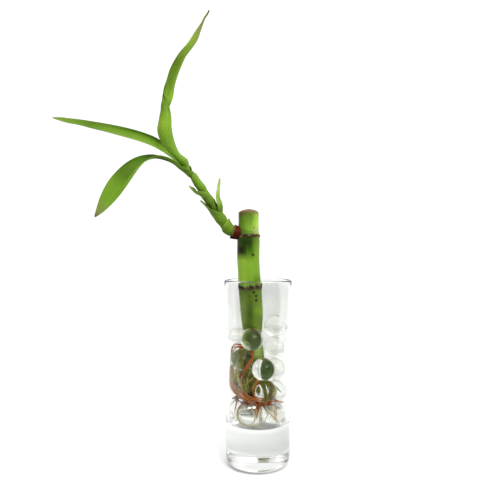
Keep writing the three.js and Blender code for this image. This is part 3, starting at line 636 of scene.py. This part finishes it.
def leaf_point(rows, across, t):
    """Place on the middle surface of a curled leaf, and the direction that it faces there."""
    values = smooth(rows, t)
    tangent = unit(values[6:])
    face = facing(tangent, values[5])
    side = np.cross(tangent, face)
    curl = max(math.radians(values[4]) / 2, 0.02)
    radius = max(values[3], 0.1) / 2 / curl
    turn = across * curl
    point = values[:3] + side * radius * math.sin(turn) + face * radius * (1 - math.cos(turn))
    return point, face * math.cos(turn) - side * math.sin(turn)


# %% Tables of the sheaths and leaves
LEAVES = {
    "bud_scale": {
        "sheath": [
            (0, 5, 350, -60), (2.2, 4.9, 350, -60), (4.2, 5.1, 345, -60), (5.8, 5.5, 300, -60)],
        "blade": [],
    },
    "sheath_base": {
        "sheath": [
            (4, 3.6, 310, -90), (7.5, 4.4, 310, -90), (11, 4.8, 300, -90), (13.5, 4.8, 230, -90),
            (16, 5, 60, -90)],
        "blade": [],
    },
    "bract_left": {
        "sheath": [
            (11, 3.4, 310, 90), (15, 3.5, 310, 90), (18.5, 4.4, 300, 90), (21.5, 4.6, 270, 90),
            (24, 4.9, 200, 90)],
        "blade": [
            (-37, 0.6, 187.3, 7.4, 105, 86), (-39.9, 0.2, 190.6, 5, 78, 78),
            (-42.7, 0, 193.7, 1.2, 60, 60)],
    },
    "bract_upright": {
        "sheath": [
            (19, 3.05, 310, -90), (23, 3.15, 300, -90), (24.3, 4.1, 165, -90), (25.8, 5.2, 150, -90),
            (28.5, 6.2, 135, -88)],
        "blade": [
            (-28.6, 1, 196.8, 8.4, 150, -92), (-28.5, 0.6, 202, 5.5, 130, -104),
            (-28.3, 0.4, 206.4, 4, 100, -108), (-28.3, 0.2, 210.2, 1, 60, -108)],
    },
    "bract_short": {
        "sheath": [
            (24.5, 2.9, 310, 90), (31, 2.95, 310, 90), (33.5, 3.6, 300, 90), (38, 3.7, 270, 90),
            (41.5, 3.9, 200, 90)],
        "blade": [
            (-46.4, 0.4, 199.2, 8, 130, 88), (-49, 0, 202, 5, 110, 70), (-51, -0.4, 204.6, 1.2, 60, 70)],
    },
    "bract_nub": {
        "sheath": [
            (37, 2.5, 310, -90), (42, 2.45, 310, -90), (45.5, 3.2, 310, -90), (50, 3.05, 310, -95),
            (54.8, 3.05, 250, -100), (57.4, 3.1, 150, -105)],
        "blade": [],
    },
    "leaf_drooping": {
        "sheath": [
            (49.5, 1.85, 300, 115), (56.6, 1.95, 300, 115), (58.6, 2.75, 262, 114), (61, 3.3, 160, 116)],
        "blade": [
            (-57.4, -5.4, 216.6, 6.4, 70, 106), (-61.5, -8, 219.6, 8.4, 115, 92),
            (-67, -12, 221.6, 9.6, 115, 84), (-73.5, -17, 222, 11, 100, 72),
            (-80.2, -21, 219.5, 12.2, 80, 52), (-86.2, -25, 214.6, 13.2, 60, 34),
            (-91.7, -28, 207.8, 14, 48, 22), (-96.7, -30, 200.8, 13.6, 40, 14),
            (-101.4, -31, 193.8, 11.4, 36, 8), (-105.8, -31, 187.4, 8, 32, 8),
            (-109.3, -30, 182.8, 4.3, 30, 8), (-112, -29, 179.8, 1, 20, 8)],
    },
    "leaf_left": {
        "sheath": [
            (57.6, 1.27, 300, 60), (59.6, 1.55, 300, 60), (62, 2.4, 290, 60), (64.8, 3.25, 215, 61),
            (67, 4.1, 125, 60)],
        "blade": [
            (-61.4, 3.2, 224.2, 7.4, 70, 58), (-65.6, 5, 228, 9.5, 100, 54), (-72, 6, 233, 10.6, 95, 48),
            (-80, 7, 237.8, 11.8, 85, 44), (-91.5, 8, 242.2, 12.4, 76, 44),
            (-102.5, 8, 245.3, 12.2, 70, 44), (-113.6, 7, 248, 11.2, 64, 46), (-124.4, 5, 250, 10, 60, 48),
            (-133, 3, 251.6, 8.6, 60, 50), (-141.6, 2, 252.9, 7, 55, 50), (-147.9, 1, 254.3, 4.4, 50, 50),
            (-152.5, 1, 255.5, 0.9, 20, 50)],
    },
    "leaf_upright": {
        "sheath": [
            (62.3, 1.15, 300, 125), (64.6, 1.95, 300, 125), (67, 2.9, 280, 126), (69, 3.3, 250, 130)],
        "blade": [
            (-60.6, -4.8, 224.8, 10.4, 210, 138), (-65, -5.4, 230.4, 12.5, 165, 146),
            (-68.2, -5.4, 237.4, 13.8, 125, 152), (-70, -5.2, 245.9, 14.2, 100, 156),
            (-70, -5, 253.4, 13.8, 130, 154), (-70.4, -4.3, 259, 14, 205, 148),
            (-71.2, -2.8, 261.6, 14, 230, 124), (-71.5, -1, 264, 14, 240, 95),
            (-71, 0.8, 266.5, 13.8, 230, 68), (-70, 2.4, 269, 12.8, 205, 46),
            (-68, 3, 275.2, 10.6, 120, 42), (-66.1, 3, 281.5, 8.6, 100, 40),
            (-63.4, 3, 290.1, 8.4, 100, 38), (-60, 3, 297.5, 7.6, 100, 38),
            (-56.4, 2.5, 303.3, 6.4, 90, 38), (-51.5, 2, 309, 5.6, 90, 38), (-47.2, 1.5, 315, 5.4, 80, 38),
            (-44.2, 1, 320.6, 3.7, 70, 38), (-41.4, 0.5, 325.6, 1.9, 60, 38),
            (-39.5, 0, 329.3, 1.3, 40, 38), (-37.6, 0, 332, 1.1, 20, 38), (-36.2, 0, 334.7, 0.8, 20, 38)],
    },
}
print("leaf tables:", len(LEAVES))

# %% [markdown]
# ### Leaf finish
# A young dracaena leaf is satin, with some thirty fine veins that run side by side from foot to
# tip. They are drawn twice as coarse as they are, as fifteen. The grid keeps its own map of across
# and along, so the veins follow the leaf and close up at its tip. Each leaf has its own greens at
# the numbers of its stations, from foot to tip: one margin, the middle and the other margin, or one
# or two greens where these are alike. Some of them are painted light and shade rather than the
# leaf's own green: the dark arch of the drooping leaf is painted shade, and where a blade's two
# margins differ, the darker margin is painted shade and the lighter one painted light.

# %% Leaf material
VEINS = 15


def three_tones(row):
    """One margin, the middle and the other margin, from a row that names one, two or three greens."""
    return row[1:] if len(row) == 4 else (row[1], row[-1], row[1])


def leaf_finish(name, greens):
    """A satin leaf. Its greens are rows of a station and one, two or three greens, foot to tip."""
    material, tree, shader = new_material(name, Roughness=0.42, Specular_IOR_Level=0.06)
    tip = greens[-1][0]
    leaf_map = add_node(tree, "ShaderNodeUVMap", uv_map="leaf").outputs["UV"]
    across, along, _ = add_node(tree, "ShaderNodeSeparateXYZ", {"Vector": leaf_map}).outputs

    def leaf_noise(stretch, detail):
        """Noise along the leaf: the numbers are how many patches fit across and along it."""
        drawn_out = add_node(tree, "ShaderNodeMapping", {"Vector": leaf_map, "Scale": (*stretch, 1.0)})
        return add_node(tree, "ShaderNodeTexNoise", {
            "Vector": drawn_out.outputs["Vector"], "Scale": 1.0, "Detail": detail}).outputs["Fac"]

    cloud = leaf_noise((9.0, 5.0), 5.0)
    threads = leaf_noise((46.0, 3.0), 2.0)
    centred = add_node(tree, "ShaderNodeMath", {0: across, 1: 0.5}, operation="SUBTRACT")
    sideways = add_node(tree, "ShaderNodeMath", {0: centred.outputs[0]}, operation="ABSOLUTE").outputs[0]
    wander = add_node(tree, "ShaderNodeMath", {0: cloud, 1: 0.22, 2: sideways}, operation="MULTIPLY_ADD")
    edge = add_node(tree, "ShaderNodeMapRange", {
        "Value": wander.outputs[0], "From Min": 0.24, "From Max": 0.54,
    }, interpolation_type="SMOOTHSTEP").outputs["Result"]
    bands = []
    for band in range(3):
        stops = [(row[0] / tip, GREENS[three_tones(row)[band]]) for row in greens]
        bands.append(set_ramp(add_node(tree, "ShaderNodeValToRGB", {"Fac": along}), stops))
    side = add_node(tree, "ShaderNodeMapRange", {
        "Value": across, "From Min": 0.4, "From Max": 0.6}).outputs["Result"]
    margins = add_node(tree, "ShaderNodeMix", {
        "Factor": side, "A": bands[0], "B": bands[2]}, data_type="RGBA").outputs["Result"]
    green = add_node(tree, "ShaderNodeMix", {
        "Factor": edge, "A": bands[1], "B": margins}, data_type="RGBA").outputs["Result"]
    angle = add_node(tree, "ShaderNodeMath", {0: across, 1: VEINS * math.tau}, operation="MULTIPLY")
    vein = add_node(tree, "ShaderNodeMath", {0: angle.outputs[0]}, operation="SINE").outputs[0]
    veined = add_node(tree, "ShaderNodeMath", {
        0: vein, 1: 0.25, 2: threads}, operation="MULTIPLY_ADD").outputs[0]
    tone = set_ramp(add_node(tree, "ShaderNodeValToRGB", {"Fac": veined}), [
        (0.25, "#ccd2c0"), (0.5, "#f0f2ea"), (0.85, "#ffffff")])
    toned = add_node(tree, "ShaderNodeMix", {
        "Factor": 1.0, "A": green, "B": tone}, data_type="RGBA", blend_type="MULTIPLY")
    tree.links.new(toned.outputs["Result"], shader.inputs["Base Color"])
    bump = add_node(tree, "ShaderNodeBump", {
        "Height": veined, "Strength": 0.35, "Distance": 0.12 * MM})
    tree.links.new(bump.outputs["Normal"], shader.inputs["Normal"])
    return material


# %% Greens of the sheaths and leaves
LEAF_GREENS = {
    "bud_scale": [(0, "rust"), (4.5, "rust"), (6, "straw", "dry")],
    "sheath_base": [(0, "dusty"), (4, "leaf"), (8, "soft", "sheath")],
    "bract_left": [
        (0, "fresh", "leaf"), (7, "dusty", "fresh"), (9, "sheath", "fresh"), (10, "pale"),
        (11, "faded")],
    "bract_upright": [
        (0, "leaf"), (7, "dusty", "leaf"), (9, "soft", "sheath"), (10, "pale"), (12, "faded")],
    "bract_short": [(0, "leaf"), (6, "dusty", "leaf"), (9, "soft"), (11, "pale")],
    "bract_nub": [(0, "leaf"), (6, "fresh"), (10, "sheath", "fresh")],
    # Painted shade: the shade and dark greens from station 8.3 to 13 darken the arch of the drooping leaf.
    "leaf_drooping": [
        (0, "sheath", "fresh"), (6, "leaf"), (7.3, "bright", "fresh", "fresh"),
        (8.3, "fresh", "deep", "deep"), (9.2, "leaf", "shade", "shade"),
        (10.2, "leaf", "shade", "shade"), (11, "bright", "dark", "dark"), (12, "fresh", "deep", "dark"),
        (13, "fresh", "deep", "deep"), (14, "fresh"), (15.5, "bright"), (17, "faded"),
        (18, "straw")],
    # Painted shade: the deep and dark far margin from station 10.5 to 15 is the shade in the leaf's fold.
    "leaf_left": [
        (0, "sheath", "fresh"), (8, "soft", "bright", "bright"), (10.5, "lime", "bright", "deep"),
        (12, "sheath", "fresh", "dark"), (13.5, "sheath", "leaf", "dark"),
        (15, "dusty", "leaf", "deep"), (16.2, "deep"), (18, "leaf", "leaf", "dusty"),
        (20, "sheath", "dusty")],
    # Painted light and shade: where the two margins differ, the lighter one is painted light and the darker
    # one painted shade.
    "leaf_upright": [
        (0, "sheath", "dusty"), (5, "sheath", "fresh", "soft"), (7.5, "sheath", "bright", "lime"),
        (9, "fresh", "bright", "soft"), (10.5, "bright", "lime", "lime"),
        (12, "leaf", "fresh", "bright"), (13.5, "leaf"), (15.6, "leaf", "bright", "soft"),
        (16.4, "dark", "bright", "lime"), (18, "leaf", "leaf", "soft"), (20, "deep", "leaf", "bright"),
        (21.2, "soft"), (22.4, "pale", "lime", "soft"), (24, "faded"),
        (26, "faded"), (27.3, "straw"), (28, "dry")],
}
print("stations with greens:", sum(len(rows) for rows in LEAF_GREENS.values()))

# %% [markdown]
# ### Making the leaves
# A grid is carried to the curled surface, with the veins as real ridges and a faint wave along the
# margins. Solidify gives the sheet its thickness, thinner towards its edges.

# %% Sheaths and leaves
ROWS_A_SPAN = 6
COLUMNS = 30
RIDGE = 0.04
MARGIN_WAVE = 0.35
LEAF_THICKNESS = 0.55 * MM


def frame_slot(node_name):
    """The record's material slot of a CAD node."""
    for part in frame["record"]["subparts"]:
        if part["node"] == node_name:
            return part["material_slot"]
    return None


def make_leaf(name):
    rows = leaf_stations(**LEAVES[name])
    spans = len(rows) - 1
    bm = bmesh.new()
    bm.loops.layers.uv.new("leaf")
    bmesh.ops.create_grid(bm, x_segments=COLUMNS, y_segments=spans * ROWS_A_SPAN, size=1, calc_uvs=True)
    blade_from = (2 * len(LEAVES[name]["sheath"]) - 1) / spans
    for corner in bm.verts:
        across, t = corner.co.x, (corner.co.y + 1) / 2
        point, square = leaf_point(rows, across, t)
        free = min(max((t - blade_from) / 0.15, 0), 1) * (1 - t ** 8)
        ridge = RIDGE * math.cos(across * VEINS * math.pi)
        wave = MARGIN_WAVE * free * across ** 4 * noise.noise(Vector((across * 2, t * 9, len(name))))
        corner.co = Vector(point + square * (ridge + wave)) * MM
    mesh_piece = finish_piece(
        name + "_skin", bm, leaf_finish(name.replace("_", " ") + ", satin leaf", LEAF_GREENS[name]),
        frame_slot(name), name)
    thin = mesh_piece.vertex_groups.new(name="thickness")
    for vertex in range(len(mesh_piece.data.vertices)):
        column = vertex % (COLUMNS + 1)
        from_edge = min(column, COLUMNS - column) / (COLUMNS / 2)
        thin.add([vertex], 0.45 + 0.55 * min(from_edge * 2.2, 1), "REPLACE")
    solid = mesh_piece.modifiers.new("thickness", "SOLIDIFY")
    solid.thickness = LEAF_THICKNESS
    solid.offset = 0
    solid.vertex_group = "thickness"
    return mesh_piece


leaves = {name: make_leaf(name) for name in LEAVES}
print("leaf pieces:", len(leaves))

# %% [markdown]
# ## Young stem and roots
# These two keep the CAD solid's own mesh, copied and merged. For the roots, subdivision rounds it
# and a small displacement makes them knobbly, as roots are that grew round beads.

# %% Merged copies
def merged_copy(node_name):
    """A bmesh copy of a CAD node with its loose triangles joined."""
    bm = bmesh.new()
    bm.from_mesh(frame["nodes"][node_name].data)
    bmesh.ops.remove_doubles(bm, verts=bm.verts, dist=1e-6)
    return bm


stem_skin = leaf_finish("young dracaena stem, waxy", [
    (0, "dusty", "leaf"), (1, "sheath", "dusty")])
finish_piece("young_stem_skin", merged_copy("shoot_stem"), stem_skin, "young_stem", "shoot_stem")

# %% [markdown]
# ### Finish of the roots
# Dracaena roots are rust orange where they are in the light, dark brown where they mat together
# under the cane, and cream at their young ends near the bottom. The callus round the foot of the
# cane is yellow green, with pale and orange patches. Two numbers on the mesh carry this: how far a
# corner belongs to the callus, and the age of the root that it is on, from 0 for old and dark to 1
# for young and cream.

# %% Root material
ROOT_PATCH = 1 / (4 * MM)


def root_finish(name):
    """Moist roots coloured by the age on the mesh, with callus where the mesh says so."""
    material, tree, shader = new_material(name, Roughness=0.45, Specular_IOR_Level=0.12)
    place = add_node(tree, "ShaderNodeTexCoord").outputs["Object"]
    patches = add_node(tree, "ShaderNodeTexNoise", {"Vector": place, "Scale": ROOT_PATCH, "Detail": 3.0})
    age = add_node(tree, "ShaderNodeAttribute", attribute_name="age").outputs["Fac"]
    callus = add_node(tree, "ShaderNodeAttribute", attribute_name="callus").outputs["Fac"]
    varied = add_node(tree, "ShaderNodeMath", {
        0: patches.outputs["Fac"], 1: 0.3, 2: age}, operation="MULTIPLY_ADD")
    root_colour = set_ramp(add_node(tree, "ShaderNodeValToRGB", {"Fac": varied.outputs[0]}), [
        (0.1, "#3e1a0a"), (0.25, "#7a3210"), (0.4, "#c8601e"), (0.6, "#e88836"), (0.8, "#e4b06c"),
        (0.95, "#e6d6a4"), (1.0, "#efe6c4")])
    callus_colour = set_ramp(add_node(tree, "ShaderNodeValToRGB", {"Fac": patches.outputs["Fac"]}), [
        (0.3, "#7c9c20"), (0.45, "#b4c84c"), (0.6, "#d4cc78"), (0.72, "#e09a44")])
    mixed = add_node(tree, "ShaderNodeMix", {
        "Factor": callus, "A": root_colour, "B": callus_colour}, data_type="RGBA")
    tree.links.new(mixed.outputs["Result"], shader.inputs["Base Color"])
    bump = add_node(tree, "ShaderNodeBump", {
        "Height": patches.outputs["Fac"], "Strength": 0.5, "Distance": 0.2 * MM})
    tree.links.new(bump.outputs["Normal"], shader.inputs["Normal"])
    return material


root_skin = root_finish("dracaena roots, moist")


def root_age(z):
    """Age of a root by its height: cream and young at the bottom, dark in the mat, orange above."""
    return float(np.interp(z, [36, 42, 46, 51, 57, 90], [0.85, 0.6, 0.12, 0.05, 0.3, 0.4]))


# %% Roots of the CAD part
root_bm = merged_copy("roots")
age_layer = root_bm.verts.layers.float.new("age")
callus_layer = root_bm.verts.layers.float.new("callus")
for corner in root_bm.verts:
    x, y, z = (c / MM for c in corner.co)
    middle = cane_axis(z)
    away = math.hypot(x - middle[0], y - middle[1]) - np.interp(z, CANE_RADII[1:, 0], CANE_RADII[1:, 1])
    by_the_cane = min(max((2.2 - away) / 0.7, 0.0), 1.0)
    corner[callus_layer] = max(by_the_cane, float(np.interp(z, [49, 54], [0, 0.85])))
    corner[age_layer] = root_age(z)
roots = finish_piece("root_mass", root_bm, root_skin, "root_skin", "roots")
rounding = roots.modifiers.new("rounding", "SUBSURF")
rounding.levels = rounding.render_levels = 1
knobs = bpy.data.textures.new("root knobs", "CLOUDS")
knobs.noise_scale = 2.5 * MM
swell = roots.modifiers.new("swell", "DISPLACE")
swell.texture = knobs
swell.texture_coords = "LOCAL"
swell.mid_level = 0.25
swell.strength = 0.4 * MM

# %% [markdown]
# ### Fine roots
# Between the thick roots run many thin ones. Each starts on the callus, goes out towards the glass,
# and is pushed clear of the beads, the cane and the glass, as a growing root is. A few strands have
# ways of their own. The others come in kinds that share their stations and vary round them: old
# roots with callus behind the beads and under the cane, arcs down the left and over the left bead,
# a low band, the dark mat under the cane, and young ends at the bottom.

# %% Ways of the fine roots
ROOT_STEPS = 26
ROOT_SIDES = 6
SETTLING_STEPS = 50
SMOOTHED_STEPS = 36
draw = random.Random(12)
bead_spheres = [(np.array(centre) / MM, size / MM) for centre, size in beads]


def cleared(points, size):
    """Points of a thin root, in millimetres, smoothed and pushed clear of what is in the vase."""
    for step in range(SETTLING_STEPS):
        if step < SMOOTHED_STEPS:
            points[1:-1] += 0.2 * ((points[:-2] + points[2:]) / 2 - points[1:-1])
        for centre, bead_size in bead_spheres:
            away = points - centre
            far = np.linalg.norm(away, axis=1, keepdims=True)
            need = bead_size + size + 0.25
            points = np.where(far < need, centre + away / far * need, points)
        middle = np.stack(cane_axis(points[:, 2]), axis=1)
        away = points[:, :2] - middle
        far = np.linalg.norm(away, axis=1)
        need = np.interp(points[:, 2], CANE_RADII[1:, 0], CANE_RADII[1:, 1]) + 0.8 + size
        inside = (far < need) & (points[:, 2] > CANE_FOOT - 3)
        pushed = middle + away / far[:, None] * need[:, None]
        points[:, :2] = np.where(inside[:, None], pushed, points[:, :2])
        reach = vase_inner(points[:, 2] * MM) / MM - size - 0.3
        out = np.linalg.norm(points[:, :2], axis=1)
        points[:, :2] *= np.minimum(1, reach / out)[:, None]
        points[:, 2] = np.maximum(points[:, 2], 33 + size)
    return points


def root_way(stations, reach, size):
    """Way of a root from the callus through (angle, height) stations, at a reach from the middle."""
    t = np.linspace(0, 1, ROOT_STEPS + 1)
    out = np.clip(t / 0.25, 0, 1)
    out = (out * out * (3 - 2 * out))[:, None]
    seed = draw.uniform(0, 90)
    drift = np.array([[noise.noise(Vector((4 * v, seed, k))) for k in (0.0, 7.0)] for v in t])
    passed = np.linspace(0, 1, len(stations))
    angle = np.interp(t, passed, [station[0] for station in stations]) + 0.16 * drift[:, 0]
    height = np.interp(t, passed, [station[1] for station in stations]) + 3 * drift[:, 1] * t
    heading = np.stack([np.cos(angle), np.sin(angle)], axis=1)
    middle = np.stack(cane_axis(height), axis=1)
    near = middle + heading * (np.interp(height, CANE_RADII[1:, 0], CANE_RADII[1:, 1]) + 1.0)[:, None]
    flat = near * (1 - out) + heading * reach * out
    return cleared(np.column_stack([flat, height]), size)


def add_root(bm, points, size, age, callus=0.0):
    """Adds a root as a grid carried to a tube round the points. Its size is its radius at its start."""
    grid = bmesh.ops.create_grid(bm, x_segments=ROOT_SIDES, y_segments=len(points) - 1, size=1)
    along = np.gradient(points, axis=0)
    along /= np.linalg.norm(along, axis=1, keepdims=True)
    side = unit(np.cross(along[0], (0.3, 0.5, 0.8)))
    sides = []
    for direction in along:
        side = unit(side - direction * (side @ direction))
        sides.append(side)
    for corner in grid["verts"]:
        t = (corner.co.y + 1) / 2
        i = round(t * (len(points) - 1))
        angle = (corner.co.x + 1) * math.pi
        ring = sides[i] * math.cos(angle) + np.cross(along[i], sides[i]) * math.sin(angle)
        corner.co = Vector(points[i] + ring * size * (1 - 0.75 * t ** 2)) * MM
        corner[bm.verts.layers.float["age"]] = age + 0.25 * t
        corner[bm.verts.layers.float["callus"]] = callus


# %% [markdown]
# ### Strands and kinds
# A strand is its radius at the callus, its age and its stations, and a station is an angle round
# the vase in radians and a height in millimetres. A kind adds how many roots it has, how far from
# the middle they run, how far they are turned and how much their heights spread.

# %% Fine roots
STRANDS = [
    (0.6, 0.45, [(4.3, 84), (4.17, 77), (4.27, 72), (4.08, 67), (4.08, 61), (4.3, 55), (4.6, 52)]),
    (0.5, 0.36, [(4.6, 86), (4.5, 78), (4.25, 72), (4.15, 69)]),
    (0.45, 0.3, [(4.75, 68), (4.6, 63), (4.58, 57), (4.75, 51)]),
    (1.0, 0.75, [(5.0, 49), (5.0, 46), (5.15, 42), (5.3, 38)]),
    (0.9, 0.75, [(4.0, 48), (3.9, 43), (4.1, 37), (4.45, 34.5), (4.8, 34)]),
    (0.7, 0.8, [(4.35, 48), (4.5, 44), (4.5, 38), (4.25, 34)]),
]
ROOT_KINDS = [
    {"count": 16, "size": (0.8, 1.4), "age": (0.2, 0.4), "reach": (9, 17), "turned": (-0.6, 0.3),
     "spread": 2, "callus": 0.9, "stations": [(3.3, 82), (3.3, 72), (3.4, 62), (3.7, 54)]},
    {"count": 24, "size": (0.6, 1.2), "age": (0.0, 0.4), "reach": (2, 12), "turned": (-1.4, 1.2),
     "spread": 3, "callus": 0.8, "stations": [(4.3, 62), (4.9, 55), (5.6, 51)]},
    {"count": 10, "size": (0.25, 0.5), "age": (0.25, 0.65), "reach": (19.5, 21.4),
     "turned": (-0.15, 0.1), "spread": 3, "callus": 0,
     "stations": [(3.3, 84), (3.15, 76), (3.25, 66), (3.5, 58), (4.1, 53), (4.7, 50)]},
    {"count": 6, "size": (0.3, 0.5), "age": (0.3, 0.45), "reach": (18, 21), "turned": (-0.1, 0.1),
     "spread": 1.5, "callus": 0,
     "stations": [(4.4, 85), (4.15, 89), (3.8, 89), (3.5, 86), (3.25, 78), (3.2, 68)]},
    {"count": 8, "size": (0.25, 0.5), "age": (0.05, 0.5), "reach": (18.5, 21), "turned": (-0.2, 0.2),
     "spread": 3.5, "callus": 0, "stations": [(3.5, 64), (3.8, 56), (4.3, 53), (4.8, 50)]},
    {"count": 26, "size": (0.3, 0.55), "age": (-0.05, 0.15), "reach": (12, 20), "turned": (-0.9, 0.9),
     "spread": 2.5, "callus": 0, "stations": [(4.2, 51), (4.5, 49), (4.9, 49)]},
    {"count": 7, "size": (0.4, 0.8), "age": (0.6, 0.75), "reach": (17, 20), "turned": (-0.7, 0.7),
     "spread": 2, "callus": 0, "stations": [(4.7, 47), (4.7, 41), (4.7, 35.5)]},
]
fine_bm = bmesh.new()
fine_bm.verts.layers.float.new("age")
fine_bm.verts.layers.float.new("callus")
for size, age, stations in STRANDS:
    add_root(fine_bm, root_way(stations, 20.5, size), size, age)
for kind in ROOT_KINDS:
    for _ in range(kind["count"]):
        size = draw.uniform(*kind["size"])
        stations = [(angle + draw.uniform(-0.16, 0.16), z + draw.uniform(-1, 1) * kind["spread"])
                    for angle, z in kind["stations"]]
        turned = draw.uniform(*kind["turned"])
        stations = [(angle + turned, z) for angle, z in stations]
        way = root_way(stations, draw.uniform(*kind["reach"]), size)
        add_root(fine_bm, way, size, draw.uniform(*kind["age"]), kind["callus"])
bmesh.ops.remove_doubles(fine_bm, verts=fine_bm.verts, dist=1e-6)
bmesh.ops.recalc_face_normals(fine_bm, faces=fine_bm.faces)
finish_piece("fine_roots", fine_bm, root_skin, "root_skin")
